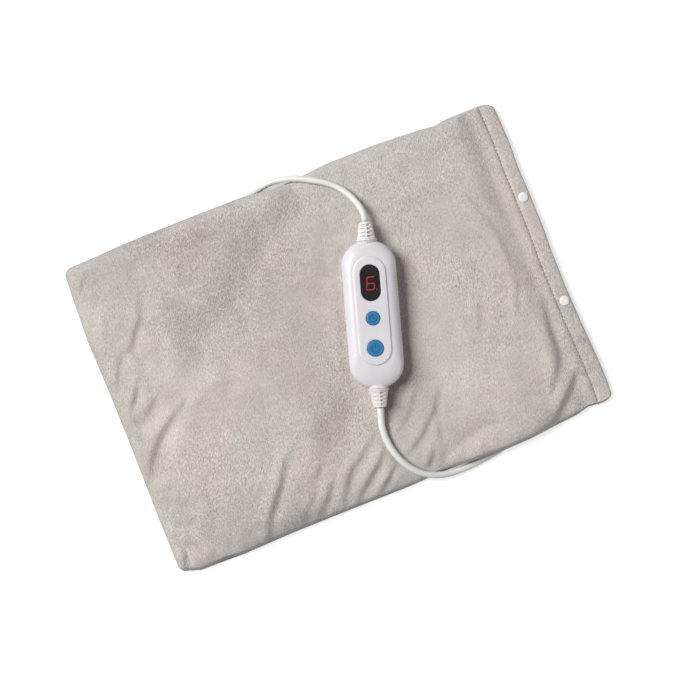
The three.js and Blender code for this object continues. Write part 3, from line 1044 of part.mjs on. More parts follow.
// Cores of the leads, from the reliefs to the board's ends
const CORES_DIAMETER = 4;
const coresStart = HALF_BODY - NECK_LENGTH - FLANGE_THICKNESS - SEAT_GAP;
const coresEnd = BOARD_LENGTH / 2 + SEAT_GAP;
const coresLift = BOARD_TOP - BOARD_THICKNESS / 2;
[['pad_lead_cores', 1], ['mains_lead_cores', -1]].forEach(([name, side]) => {
  const middle = (coresStart + coresEnd) / 2;
  const route = [
    [0, side * coresStart, PARTING], [0, side * (coresStart + middle) / 2, PARTING - CORES_DIAMETER / 8],
    [0, side * (coresEnd + middle) / 2, coresLift - CORES_DIAMETER / 8], [0, side * coresEnd, coresLift]];
  addPiece(name, cord(route, CORES_DIAMETER, 8), wireJacket, controller);
});

export default part;
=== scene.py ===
"""Looks of a plush heating pad with its hand controller: camera, light, cloth, cords and moulded parts."""
import math

import bmesh
import bpy
import numpy as np
from mathutils import Matrix, Vector


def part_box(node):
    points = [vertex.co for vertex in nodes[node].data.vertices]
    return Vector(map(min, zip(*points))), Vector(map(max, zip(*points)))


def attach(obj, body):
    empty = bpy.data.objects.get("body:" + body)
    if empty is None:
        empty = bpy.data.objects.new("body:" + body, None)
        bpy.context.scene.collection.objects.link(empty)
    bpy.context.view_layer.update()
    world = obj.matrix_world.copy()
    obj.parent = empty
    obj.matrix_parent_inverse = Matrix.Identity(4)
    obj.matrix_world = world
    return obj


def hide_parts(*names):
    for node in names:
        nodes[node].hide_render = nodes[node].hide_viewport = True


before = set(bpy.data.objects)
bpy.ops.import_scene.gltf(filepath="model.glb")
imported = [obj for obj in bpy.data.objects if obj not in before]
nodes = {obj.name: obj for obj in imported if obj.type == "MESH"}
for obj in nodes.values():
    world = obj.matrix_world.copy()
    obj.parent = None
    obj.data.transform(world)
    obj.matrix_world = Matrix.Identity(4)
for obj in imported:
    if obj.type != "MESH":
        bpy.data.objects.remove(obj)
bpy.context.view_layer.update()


# The camera looks straight down from 1.5 m, as in the photograph.
# The pad's long side is turned by almost a quarter of a right angle in the picture.
PICTURE_TURN = math.radians(21.75)
PICTURE_CENTRE = (0.0011, -0.0032)
CAMERA_HEIGHT = 1.5
SEEN_WIDTH = 0.6324
SENSOR_WIDTH = 36


def into_scene(name, data):
    thing = bpy.data.objects.new(name, data)
    bpy.context.scene.collection.objects.link(thing)
    return thing


camera_data = bpy.data.cameras.new("camera")
camera_data.sensor_width = SENSOR_WIDTH
camera_data.lens = SENSOR_WIDTH * CAMERA_HEIGHT / SEEN_WIDTH
camera = into_scene("camera", camera_data)
camera.location = (*PICTURE_CENTRE, CAMERA_HEIGHT)
camera.rotation_euler = (0, 0, -PICTURE_TURN)
bpy.context.scene.camera = camera
bpy.context.scene.view_settings.view_transform = "Standard"


# The light is a large soft lamp up to the left, a weaker one opposite it and a pale room.
# The floor is a white sheet, lit a little by itself towards the camera, which keeps soft shadows.
# Beside the pad and the leads its glow is dimmed by ambient occlusion, a painted contact shade.
class Socket:
    """An output in a node tree, whose arithmetic adds Math nodes."""

    def __init__(self, tree, output=None):
        self.tree = tree
        self.output = output

    def node(self, kind, settings=None, inputs=None, output=0):
        """Adds a node to the tree: its settings first, then its sockets' values or links."""
        node = self.tree.nodes.new(kind)
        for key, value in (settings or {}).items():
            if key == "stops":
                elements = node.color_ramp.elements
                while len(elements) < len(value):
                    elements.new(0.5)
                for element, (place, colour) in zip(elements, value):
                    element.position = place
                    element.color = (*colour, 1)
            else:
                setattr(node, key, value)
        for key, value in (inputs or {}).items():
            if isinstance(value, Socket):
                self.tree.links.new(value.output, node.inputs[key])
            else:
                node.inputs[key].default_value = value
        return Socket(self.tree, node.outputs[output] if len(node.outputs) else None)

    def twin(self, name):
        """Another output of the same node."""
        return Socket(self.tree, self.output.node.outputs[name])

    def maths(self, operation, *values):
        return self.node("ShaderNodeMath", {"operation": operation}, dict(enumerate(values)))

    def __add__(self, other):
        return self.maths("ADD", self, other)

    def __sub__(self, other):
        return self.maths("SUBTRACT", self, other)

    def __rsub__(self, other):
        return self.maths("SUBTRACT", other, self)

    def __mul__(self, other):
        return self.maths("MULTIPLY", self, other)

    __radd__ = __add__
    __rmul__ = __mul__


def feed(shader, **links):
    for key, value in links.items():
        value.tree.links.new(value.output, shader.inputs[key.replace("_", " ")])


FLOOR_REACH = 4
FLOOR_DROP = 0.0002
PAINTED_SHADE_REACH = 0.012
floor_mesh = bpy.data.meshes.new("floor")
floor_mesh.from_pydata([(FLOOR_REACH * x, FLOOR_REACH * y, 0) for x, y in ((-1, -1), (1, -1), (1, 1), (-1, 1))],
                       [], [(0, 1, 2, 3)])
floor = into_scene("floor", floor_mesh)
floor.location.z = -FLOOR_DROP
white_sheet = bpy.data.materials.new("white_sheet")
white_sheet.use_nodes = True
white_sheet.node_tree.nodes.clear()
rays = Socket(white_sheet.node_tree).node("ShaderNodeLightPath", output="Is Camera Ray")
mirrored = rays.maths("MAXIMUM", rays.twin("Is Glossy Ray"), rays.twin("Is Transmission Ray"))
seen = rays.maths("MAXIMUM", rays, mirrored)
# Painted contact shade: ambient occlusion dims the floor's own glow in the narrow gaps beside the pad and the leads.
painted_contact_shade = rays.node("ShaderNodeAmbientOcclusion", {"samples": 8}, {"Distance": PAINTED_SHADE_REACH}, "AO")
diffuse = rays.node("ShaderNodeBsdfDiffuse", None, {"Color": (0.42, 0.42, 0.42, 1)})
glow = rays.node("ShaderNodeEmission", None, {"Color": (1, 1, 1, 1), "Strength": seen * (painted_contact_shade * 0.45 + 0.38)})
both = rays.node("ShaderNodeAddShader", None, {0: diffuse, 1: glow})
rays.node("ShaderNodeOutputMaterial", None, {"Surface": both})
floor_mesh.materials.append(white_sheet)

world = bpy.data.worlds.new("pale_room")
bpy.context.scene.world = world
world.use_nodes = True
background = world.node_tree.nodes["Background"]
background.inputs["Color"].default_value = (1, 1, 1, 1)
rays = Socket(world.node_tree).node("ShaderNodeLightPath", output="Is Camera Ray")
room = rays.maths("MAXIMUM", rays, rays.twin("Is Glossy Ray") * 0.8)
feed(background, Strength=0.12 + room * 0.88)


def soft_lamp(name, right, up, height, size, power):
    """A round area lamp, placed as the picture shows right and up, that faces the middle of the pad."""
    data = bpy.data.lights.new(name, "AREA")
    data.shape = "DISK"
    data.size = size
    data.energy = power
    lamp = into_scene(name, data)
    lamp.location = (*(Matrix.Rotation(-PICTURE_TURN, 2) @ Vector((right, up))), height)
    lamp.rotation_euler = (-lamp.location).to_track_quat("-Z", "Y").to_euler()


soft_lamp("key_lamp", right=-3.9, up=1.5, height=4.5, size=3.6, power=440)
soft_lamp("fill_lamp", right=3.2, up=-1.5, height=1.2, size=1.8, power=32)


# The two leads are round white flexes that leave the controller's strain reliefs.
# The pad lead goes round the upper edge to its gland, and the mains lead under the lower edge.
# The mains lead's spare length is coiled flat under the pad, on two layers, and ends in the plug.
MM = 0.001
PAD_LEAD_DIAMETER = 5.8
MAINS_LEAD_DIAMETER = 6.2
PAD_LEAD_ROUTE = [
    (62.5, 89.0, 23.8), (63.7, 94.9, 23.8), (63.5, 101.8, 23.2), (61.7, 109.0, 21.4), (57.8, 118.2, 18.4),
    (51.8, 127.3, 16.0), (44.8, 134.2, 15.4), (36.8, 139.8, 15.0), (28.3, 145.0, 13.6), (19.3, 149.7, 12.2),
    (10.2, 153.4, 9.6), (1.0, 155.6, 6.4), (-8.2, 156.0, 4.2), (-17.0, 154.6, 3.1), (-27.5, 152.4, 3.0),
    (-40.0, 149.0, 3.0), (-53.0, 143.3, 3.0), (-66.0, 135.6, 3.1), (-78.0, 126.2, 3.7), (-87.6, 117.6, 4.0)]
MAINS_LEAD_ROUTE = [
    (12.3, -74.4, 23.8), (10.1, -81.6, 23.8), (7.6, -90.6, 23.8), (6.6, -101.0, 23.6), (8.0, -113.4, 23.0),
    (12.0, -126.0, 21.7), (19.2, -138.0, 18.3), (27.6, -146.2, 14.7), (36.6, -151.6, 11.2), (46.4, -154.7, 7.6),
    (56.0, -156.0, 4.9), (65.4, -156.3, 3.5), (75.4, -155.8, 3.2), (85.5, -154.8, 3.2), (94.5, -153.7, 3.2),
    (102.5, -152.1, 3.2), (114.5, -148.2, 3.2), (123.5, -139.2, 3.2), (126.7, -127.0, 3.2), (123.5, -114.8, 3.2),
    (114.5, -105.8, 3.2), (102.5, -102.4, 3.2), (84.0, -103.2, 3.2), (64.0, -105.2, 3.2), (42.0, -107.0, 3.2),
    (15.0, -107.9, 3.2), (-15.0, -107.4, 3.2), (-45.0, -105.2, 3.2), (-72.0, -101.0, 3.5), (-92.0, -98.8, 3.9),
    (-108.5, -98.4, 3.9)]
TAIL_ROUTE = [
    (0, 0, 0), (0, 8.5, -0.2), (-0.1, 16.5, -2.4), (-0.6, 24.5, -5.0), (-1.2, 32.5, -6.0),
    (-1.8, 40.5, -5.4), (-2.4, 48.5, -4.2), (-2.8, 56.3, -3.75)]
COIL_MEAN_DIAMETER = 66
COIL_TURNS = 7.25
COIL_PITCH = 6.7
SPLICE = 0.3
PLUG_RELIEF_LENGTH = 25


def ease(share):
    share = np.clip(share, 0, 1)
    return share * share * (3 - 2 * share)


def smooth_route(points, step):
    """Closely spaced places on the smooth curve through the points, in millimetres."""
    p = np.array(points, float)
    p = np.vstack([2 * p[0] - p[1], p, 2 * p[-1] - p[-2]])
    places = []
    for a, b, c, d in zip(p, p[1:], p[2:], p[3:]):
        first, middle, last = (np.linalg.norm(q - r) ** 0.5 for q, r in ((b, a), (c, b), (d, c)))
        start = ((b - a) / first - (c - a) / (first + middle) + (c - b) / middle) * middle
        end = ((c - b) / middle - (d - b) / (middle + last) + (d - c) / last) * middle
        count = max(2, round(np.linalg.norm(c - b) / step))
        t = np.arange(count)[:, None] / count
        places.append((2 * t**3 - 3 * t**2 + 1) * b + (t**3 - 2 * t**2 + t) * start
                      + (3 * t**2 - 2 * t**3) * c + (t**3 - t**2) * end)
    places.append(p[-2:-1])
    return np.vstack(places)


def coil_path(start):
    """The coil's centreline: it spirals in on the floor, climbs a layer, and spirals out again."""
    outer = (COIL_MEAN_DIAMETER + COIL_PITCH * COIL_TURNS / 2) / 2
    centre = np.array([start[0] - MAINS_LEAD_DIAMETER, start[1] + outer])
    turn = np.linspace(0, COIL_TURNS, round(COIL_TURNS * 60) + 1)
    radius = outer - COIL_PITCH * (COIL_TURNS / 2 - np.abs(turn - COIL_TURNS / 2))
    angle = -math.pi / 2 - 2 * math.pi * turn
    climb = ease((turn - COIL_TURNS / 2) / 0.5 + 0.5)
    spiral = np.stack([centre[0] + radius * np.cos(angle), centre[1] + radius * np.sin(angle),
                       start[2] + COIL_PITCH * climb], 1)
    end = np.array([centre[0] - outer, centre[1] + MAINS_LEAD_DIAMETER, start[2] + COIL_PITCH])
    return np.vstack([[start], spiral, [end]]), centre, outer


def ring_faces(rings, sides):
    """Faces between rings of as many places each, and a cap on the first and on the last."""
    faces = [(k * sides + n, k * sides + (n + 1) % sides, (k + 1) * sides + (n + 1) % sides, (k + 1) * sides + n)
             for k in range(rings - 1) for n in range(sides)]
    return faces + [tuple(range(sides))[::-1], tuple((rings - 1) * sides + n for n in range(sides))]


def shade(piece, smooth=True, sharp_above=None):
    piece.data.polygons.foreach_set("use_smooth", [smooth] * len(piece.data.polygons))
    if sharp_above:
        piece.data.set_sharp_from_angle(angle=math.radians(sharp_above))


def mesh_piece(name, places, faces, smooth=True):
    """A piece at the origin whose mesh is given in millimetres."""
    mesh = bpy.data.meshes.new(name)
    mesh.from_pydata([tuple(p) for p in np.array(places, float) * MM], [], [tuple(map(int, face)) for face in faces])
    mesh.update()
    piece = into_scene(name, mesh)
    shade(piece, smooth)
    return piece


def fix_normals(piece):
    work = bmesh.new()
    work.from_mesh(piece.data)
    bmesh.ops.remove_doubles(work, verts=work.verts, dist=1e-6)
    bmesh.ops.recalc_face_normals(work, faces=work.faces)
    work.to_mesh(piece.data)
    work.free()
    piece.data.update()


def tube(name, path, radius, sides):
    """A round tube along a path in millimetres, with closed ends and a UV map of turn and length."""
    tangent = np.gradient(path, axis=0)
    tangent /= np.linalg.norm(tangent, axis=1)[:, None]
    side = np.cross(tangent[0], (0, 0, 1))
    rings = []
    angles = np.arange(sides) * 2 * math.pi / sides
    for place, forward in zip(path, tangent):
        side = side - forward * np.dot(side, forward)
        side /= np.linalg.norm(side)
        up = np.cross(side, forward)
        rings.append(place + radius * (np.cos(angles)[:, None] * side + np.sin(angles)[:, None] * up))
    piece = mesh_piece(name, np.vstack(rings), ring_faces(len(path), sides))
    lengths = np.concatenate([[0], np.cumsum(np.linalg.norm(np.diff(path, axis=0), axis=1))])
    uvs = [(turn / sides, lengths[along] * MM) for k in range(len(path) - 1) for n in range(sides)
           for turn, along in ((n, k), (n + 1, k), (n + 1, k + 1), (n, k + 1))] + [(0, 0)] * (2 * sides)
    layer = piece.data.uv_layers.new(name="UVMap")
    layer.data.foreach_set("uv", np.array(uvs, np.float32).ravel())
    fix_normals(piece)
    return piece


pad_lead_path = smooth_route(PAD_LEAD_ROUTE, 2.5)
pad_lead = tube("pad_lead_flex", pad_lead_path, PAD_LEAD_DIAMETER / 2, 20)
coil_start = np.array(MAINS_LEAD_ROUTE[-1]) - (SPLICE, 0, 0)
coil_line, coil_centre, coil_outer = coil_path(coil_start)
tail_line = smooth_route(np.array(TAIL_ROUTE) + coil_line[-1] + (0, SPLICE, 0), 3)
mains_path = np.vstack([smooth_route(MAINS_LEAD_ROUTE, 3), coil_line[1:], tail_line[1:]])
mains_lead = tube("mains_lead_flex", mains_path, MAINS_LEAD_DIAMETER / 2, 16)


def length_of(path):
    return float(np.linalg.norm(np.diff(path, axis=0), axis=1).sum()) * MM


print("pad lead", round(length_of(pad_lead_path), 3), "m; mains lead", round(length_of(mains_path), 3), "m")


def new_material(name, **constants):
    """A material, its Object coordinates and its Principled shader, with steady values on its own sockets."""
    material = bpy.data.materials.new(name)
    material.use_nodes = True
    shader = material.node_tree.nodes["Principled BSDF"]
    for key, value in constants.items():
        shader.inputs[key.replace("_", " ")].default_value = value
    return material, Socket(material.node_tree).node("ShaderNodeTexCoord", output="Object"), shader


def noise(place, scale, detail=2, output=0, **more):
    sockets = {"Vector": place, "Scale": scale, "Detail": detail, **more}
    return place.node("ShaderNodeTexNoise", None, sockets, output)


def two_tone(share, low, high, stops=(0.3, 0.7)):
    """A colour that goes from low to high as the share goes from one stop to the other."""
    return share.node("ShaderNodeValToRGB", {"stops": list(zip(stops, (low, high)))}, {"Fac": share})


def raised(height, strength, distance):
    return height.node("ShaderNodeBump", None, {"Height": height, "Strength": strength, "Distance": distance})


def dress(piece, look, slot, *replaced, body="root"):
    """Gives a piece its finish and its body, and hides the nodes that it stands for."""
    piece.data.materials.clear()
    piece.data.materials.append(look)
    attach(piece, body)
    if replaced:
        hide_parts(*replaced)


white_flex, place, shader = new_material(
    "white_flex", Coat_Roughness=0.35, Specular_IOR_Level=0.45, Subsurface_Weight=0.04)
clouds = noise(place, 28, 3)
feed(shader, Base_Color=two_tone(clouds, (0.77, 0.735, 0.70), (0.83, 0.80, 0.77)),
     Roughness=0.40 + clouds * 0.12, Normal=raised(noise(place, 1500), 0.25, 0.0001))
dress(pad_lead, white_flex, "lead_jacket", "pad_lead")
dress(mains_lead, white_flex, "lead_jacket", "mains_lead", "mains_lead_coil", "mains_lead_tail")


# The cover is a bag of short plush, sewn round three sides and turned, so the rim is thin and the middle full.
# Its fourth side is a stitched hem round the mouth, and it holds the felt heating pad.
# It drapes over the coil, the plug and the leads under it, and has a few soft creases on top.
HALF_LENGTH = 434 / 2
HALF_WIDTH = 308 / 2
CORNER_RADIUS = 7
TIGHT_CORNER_RADIUS = 4
HEM_WIDTH = 14.5
HEM_LINE = HALF_LENGTH - HEM_WIDTH
PAD_THICKNESS = 12
HEM_THICKNESS = 7.2
SEAM_THICKNESS = 3.2
SEAM_CROWN = 5.8
SEAM_REACH = 4.4
FULL_REACH = 24
RIM_RADIUS = 2.6
FLEECE = 2.4
MOUTH_GAP = 2.4
MOUTH_INSET = 17
SEAM_LINES = 5
BRIDGE = 18
CREASE_DEPTH = 1.25
DEEPEST_DIP = -1.35
CONTROLLER_SPINE = 44
CONTROLLER_PLACE = (37.4, 7.3)
CONTROLLER_TURN = math.radians(-17.1)
# The outline as the picture shows it: places along each edge, and how far out the edge is there
UPPER_EDGE = [(-217, 152), (-191, 152.5), (-155, 154), (-119, 154.4), (-71, 153.4), (-35, 153), (-4, 149.6),
              (25, 151.4), (49, 153.6), (97, 153.4), (121, 152), (145, 150.4), (157, 149), (169, 150.8),
              (205, 151), (217, 149)]
LOWER_EDGE = [(-217, 147.5), (-208, 150.6), (-198, 153.9), (-180, 154.2), (-155, 154.8), (-107, 153.2),
              (-47, 153.2), (13, 153.4), (40, 152.2), (62, 151.9), (84, 153.2), (109, 154), (133, 153.2),
              (157, 151.2), (181, 149.2), (193, 146), (205, 147.6), (217, 147)]
MOUTH_EDGE = [(-154, 216), (-132, 217), (-108, 216.4), (-72, 214.6), (-36, 213.4), (0, 213.4), (24, 214.4),
              (60, 214.2), (84, 213.4), (108, 214.4), (132, 214), (154, 213)]
SEWN_END = [(-154, 216.5), (-96, 216.8), (-36, 216), (24, 215.8), (84, 217), (120, 215.6), (154, 213.5)]
# Creases as the picture shows them: points along each fall, its height and its width
CREASES = [
    ([(-185, 30), (-192, 19), (-202, 7)], 2.4, 4.5),
    ([(-202, -1), (-201, -14), (-205, -26)], 1.4, 5),
    ([(-159, -7), (-175, -17), (-186, -26), (-195, -36), (-203, -45), (-210, -56)], 4.6, 8.5),
    ([(-208, -72), (-191, -71)], 0.8, 4),
    ([(-213, -99), (-203, -108), (-192, -120)], 2.4, 6),
    ([(-211, -117), (-205, -135), (-210, -147)], 2.6, 5),
    ([(-164, -80), (-165, -99), (-169, -114), (-179, -130)], 0.9, 8),
    ([(-136, -93), (-134, -105)], 1.2, 3.5),
    ([(-88, -89), (-97, -105), (-108, -118), (-119, -132), (-127, -148)], 2.8, 6),
    ([(-67, -73), (-82, -85), (-93, -100)], 1.0, 9),
    ([(-57, -103), (-67, -113)], 1.2, 4),
    ([(-74, -127), (-85, -137), (-93, -148)], 1.0, 5),
    ([(-55, -124), (-65, -136), (-75, -146)], 1.6, 5),
    ([(-5, -98), (-19, -109), (-33, -118), (-42, -130), (-52, -147)], 2.0, 5),
    ([(1, -112), (-9, -123), (-20, -131), (-30, -140), (-38, -149)], 2.8, 5),
    ([(8, -127), (-2, -136), (-12, -144), (-20, -151)], 2.2, 4),
    ([(53, -67), (43, -79), (34, -91), (19, -100)], 1.5, 5),
    ([(67, -81), (59, -93), (51, -101), (39, -112), (30, -118), (20, -123)], 2.2, 5),
    ([(60, -91), (56, -108), (53, -123)], 1.2, 4),
    ([(43, -129), (35, -140), (28, -145)], 1.8, 4),
    ([(56, -130), (47, -139)], 0.8, 4),
    ([(79, -121), (65, -146)], 0.8, 7),
    ([(-157, 100), (-162, 82), (-171, 72), (-178, 61), (-186, 58)], 1.9, 5),
    ([(-190, 59), (-198, 47), (-207, 29)], 2.2, 5),
    ([(-192, 98), (-197, 74)], 1.0, 5),
    ([(-193, 116), (-200, 107), (-207, 94)], 1.1, 5),
    ([(-173, 12), (-185, 2)], 1.3, 5),
    ([(-195, 140), (-205, 127)], 1.0, 4),
    ([(-174, 49), (-176, 36)], 0.6, 5),
    ([(-119, 1), (-98, -3)], 0.7, 5),
    ([(-106, -18), (-95, -20)], 0.7, 4),
    ([(175, -11), (167, -26), (163, -40)], 1.3, 4),
    ([(189, -40), (186, -57), (184, -73), (184, -86), (180, -98), (169, -114)], 3.0, 7),
    ([(133, -18), (124, -44)], 0.9, 5),
    ([(196, -109), (182, -123), (170, -134), (158, -145)], 3.6, 6),
    ([(-149, 134), (-161, 121)], 0.7, 6),
    ([(158, 78), (166, 58), (172, 36), (174, 14), (172, -8)], 1.3, 6),
]
LIGHT_FROM = (-0.73, 0.68)


def near_line(x, y, points):
    """Distance to a bent line, the share of the way along it, and whether the light is beyond it."""
    best = np.full(x.shape, np.inf)
    along = np.zeros(x.shape)
    side = np.ones(x.shape)
    points = np.array(points, float)
    lengths = np.linalg.norm(np.diff(points[:, :2], axis=0), axis=1)
    total, run = lengths.sum(), 0
    facing = np.sign((points[-1, 0] - points[0, 0]) * LIGHT_FROM[1] - (points[-1, 1] - points[0, 1]) * LIGHT_FROM[0])
    for (ax, ay), (bx, by), length in zip(points[:, :2], points[1:, :2], lengths):
        t = np.clip(((x - ax) * (bx - ax) + (y - ay) * (by - ay)) / length**2, 0, 1)
        dx, dy = x - ax - t * (bx - ax), y - ay - t * (by - ay)
        distance = np.hypot(dx, dy)
        closer = distance < best
        best = np.where(closer, distance, best)
        along = np.where(closer, (run + t * length) / total, along)
        side = np.where(closer, -facing * np.sign((bx - ax) * (y - ay) - (by - ay) * (x - ax)), side)
        run += length
    return best, along, side


PLUG_PLACE = tail_line[-1] + (0, SPLICE + PLUG_RELIEF_LENGTH, 0)
GLAND_PLACE = (-108, 99.6, 0)
PLUG_SIDE = 19.65
PLUG_TIP = 45.5
CAPS_LIFT = 1.6
CAPS_REACH = 104


def lift_at(x, y, spread=0):
    """How high the cloth is lifted by the coil, the plug, the leads and the snaps' backing caps.

    The upper cloth bridges the hollows beside them, so its falls are spread out a little."""
    def rise(distance, core, fall, height):
        return height * (1 - ease((distance - core + spread / 2) / (fall + spread)))

    coil = rise(np.hypot(x - coil_centre[0], y - coil_centre[1]), core=(coil_outer + MAINS_LEAD_DIAMETER / 2) * 1.24,
                fall=47, height=15.1)
    beside = np.maximum(np.abs(x - PLUG_PLACE[0]) - PLUG_SIDE, 0)
    beyond = np.maximum(np.maximum(PLUG_PLACE[1] - PLUG_RELIEF_LENGTH - y, y - PLUG_PLACE[1] - PLUG_TIP), 0)
    plug = rise(np.hypot(beside, beyond), core=0, fall=42, height=14.6)
    mains = rise(near_line(x, y, MAINS_LEAD_ROUTE[13:])[0], core=12, fall=29, height=7.1)
    gland = rise(near_line(x, y, PAD_LEAD_ROUTE[14:] + [GLAND_PLACE])[0], core=18, fall=27, height=7.8)
    from_caps = np.hypot(np.maximum(HEM_LINE + 2 - x, 0), np.maximum(np.abs(y) - CAPS_REACH, 0) / 2)
    hem = CAPS_LIFT * (1 - ease(from_caps / 16))
    height = np.zeros(x.shape)
    for one in (coil, plug, mains, gland, hem):
        close = np.maximum(4 - np.abs(height - one), 0) / 4
        both_up = (height > 0) & (one > 0)
        softened = np.where(both_up, close * close * np.minimum(np.minimum(height, one), 4) / 4, 0)
        height = np.maximum(height, one) + softened
    return height


SLACK = 1.5
SLACK_WAVES = [(150, 35, 0.15, 0.3), (118, -20, 0.6, 0.28), (104, 80, 0.3, 0.22), (97, -65, 0.85, 0.18)]


def slack_at(x, y):
    """The upper cloth's slack over the felt: broad waves of a length, heading, phase and height."""
    height = np.full(x.shape, SLACK)
    for length, heading, phase, amount in SLACK_WAVES:
        turn = math.radians(heading)
        height += amount * np.sin(2 * math.pi * ((x * math.cos(turn) + y * math.sin(turn)) / length + phase))
    return height


def wave_noise(x, y, wavelength, seed, count=24):
    """Smooth random waves between about -1 and 1."""
    random = np.random.default_rng(seed)
    total = np.zeros(x.shape)
    for _ in range(count):
        angle = random.uniform(0, 2 * math.pi)
        length = wavelength * random.uniform(0.7, 1.5)
        phase = random.uniform(0, 2 * math.pi)
        total += np.sin(2 * math.pi * (x * math.cos(angle) + y * math.sin(angle)) / length + phase)
    return total / math.sqrt(count)


def edge_lines(half, dense):
    """Grid lines that crowd together towards both edges."""
    near = [0, 0.7, 1.6, 2.6, 4, 6, 8.5, 11, 13, 14, 14.5, 15, 16]
    inner = np.linspace(-half + 18, half - 18, dense)
    return np.concatenate([[-half + d for d in near], inner, [half - d for d in near[::-1]]])


lengthwise = edge_lines(HALF_LENGTH, 191)
crosswise = edge_lines(HALF_WIDTH, 133)
uu, vv = np.meshgrid(lengthwise, crosswise, indexing="ij")


def plan(u, v):
    """The place in plan of a point of the flat bag: round corners and slack edges."""
    radius = np.where((u < 0) & (v < 0), TIGHT_CORNER_RADIUS, CORNER_RADIUS)
    corner_x = np.abs(u) - (HALF_LENGTH - radius)
    corner_y = np.abs(v) - (HALF_WIDTH - radius)
    pull = np.where((corner_x > 0) & (corner_y > 0),
                    np.maximum(corner_x, corner_y) / np.maximum(np.hypot(corner_x, corner_y), 1e-9), 1)
    x = np.where(pull < 1, np.sign(u) * (HALF_LENGTH - radius + corner_x * pull), u)
    y = np.where(pull < 1, np.sign(v) * (HALF_WIDTH - radius + corner_y * pull), v)
    side = (np.abs(u) / HALF_LENGTH) ** 5
    edge = (np.abs(v) / HALF_WIDTH) ** 5
    upper = np.interp(u, *zip(*UPPER_EDGE)) - HALF_WIDTH
    lower = np.interp(u, *zip(*LOWER_EDGE)) - HALF_WIDTH
    mouth = np.interp(v, *zip(*MOUTH_EDGE)) - HALF_LENGTH
    sewn = np.interp(v, *zip(*SEWN_END)) - HALF_LENGTH
    return x + np.where(u > 0, mouth, -sewn) * side, y + np.where(v > 0, upper, -lower) * edge


xx, yy = plan(uu, vv)
sewn_edge = np.minimum(uu + HALF_LENGTH, HALF_WIDTH - np.abs(vv))
from_hem = HEM_LINE - uu
from_mouth = HALF_LENGTH - uu
to_seam = np.minimum(sewn_edge, np.abs(from_hem))

# How thick the bag is: a thin turned seam, a stitched and puffed hem, and full over the felt
full = (SEAM_THICKNESS + SEAM_CROWN * (1 - (1 - np.clip(sewn_edge / SEAM_REACH, 0, 1)) ** 2.2)
        + (PAD_THICKNESS - SEAM_THICKNESS - SEAM_CROWN) * (1 - (1 - np.clip(sewn_edge / FULL_REACH, 0, 1)) ** 2))
hem_profile = HEM_THICKNESS + (PAD_THICKNESS - HEM_THICKNESS) * ease((from_hem - 11.5) / 20) ** 0.8
stitch_groove = 0.7 * np.exp(-((from_hem / 2.4) ** 2)) + 1.1 * np.exp(-((from_hem / 0.8) ** 2))
rim_round = 0.9 * np.clip(1 - from_mouth / RIM_RADIUS, 0, 1) ** 2
hem_puff = 0.35 * np.sin(np.clip(-from_hem / HEM_WIDTH, 0, 1) * math.pi) ** 0.8
thickness = np.minimum(full, hem_profile - stitch_groove + hem_puff - rim_round)
lift = lift_at(xx, yy)
upper_lift = lift + (lift_at(xx, yy, BRIDGE) - lift) * ease(np.minimum(sewn_edge, from_hem) / 30)
rim_rise = 1.2 * (1 - np.clip(sewn_edge / 8, 0, 1)) ** 2


def crease_at(points, height, width):
    """One fall of the pile: a raised flank towards the light, a dip beyond it, and ends that run out."""
    distance, along, side = near_line(xx, yy, points)
    across = distance * side / width
    beyond = np.where((along <= 0) | (along >= 1), np.exp(-((distance / (1.2 * width)) ** 2)), 1)
    taper = np.sin(np.pi * np.clip(along, 0.06, 0.94)) ** 0.4 * beyond
    flank = 0.6 * (1 - ease((-0.5 - across) / 2.0))
    dip = -0.4 * (1 - ease((across - 0.5) / 1.7))
    return height * taper * np.where(across < -0.5, flank, np.where(across < 0.5, 0.6 - ease(across + 0.5), dip))


# The upper cloth's own form: creases, slack, a pucker by the seams and a ruffle at the left and lower edges
creases = sum(crease_at(*crease) for crease in CREASES) * CREASE_DEPTH
creases *= ease((sewn_edge - 0.3) / 5) * ease(from_hem / 7)
slack = slack_at(xx, yy) + 0.26 * wave_noise(xx, yy, wavelength=46, seed=5)
slack += 0.16 * wave_noise(xx, yy, wavelength=21, seed=8)
inside = ease((sewn_edge - 1.5) / 9) * ease((from_hem - 1) / 50)
seam_pucker = 0.5 * wave_noise(xx, yy, wavelength=16, seed=11) * np.exp(-to_seam / 9)
left_end = 1 - ease((uu + HALF_LENGTH - 8) / 55)
lower_edge = (1 - ease((vv + HALF_WIDTH - 6) / 50)) * ease((110 - uu) / 60)
ruffle = wave_noise(xx, yy, wavelength=17, seed=31)
ruffle *= np.maximum(left_end * ease((80 - vv) / 60), lower_edge * 0.7)
sculpt = creases + slack * inside + 0.55 * ruffle * ease((sewn_edge - 0.5) / 5)
sculpt = np.maximum(sculpt, DEEPEST_DIP + 0.25 * wave_noise(xx, yy, wavelength=12, seed=21))

# It lies flat under the controller and low beside the leads
spine = np.array([math.sin(-CONTROLLER_TURN), math.cos(CONTROLLER_TURN)]) * CONTROLLER_SPINE
free = ease((near_line(xx, yy, [CONTROLLER_PLACE - spine, CONTROLLER_PLACE + spine])[0] - 25.6) / 10)
by_lead = np.minimum(*(near_line(xx, yy, route[2:14])[0] for route in (PAD_LEAD_ROUTE, MAINS_LEAD_ROUTE)))
sculpt = sculpt * free + seam_pucker * free * ease(sewn_edge / 5)
sculpt = np.where(by_lead < 9, np.minimum(sculpt, 0.4 + 2.6 * ease((by_lead - 4) / 5)), sculpt)

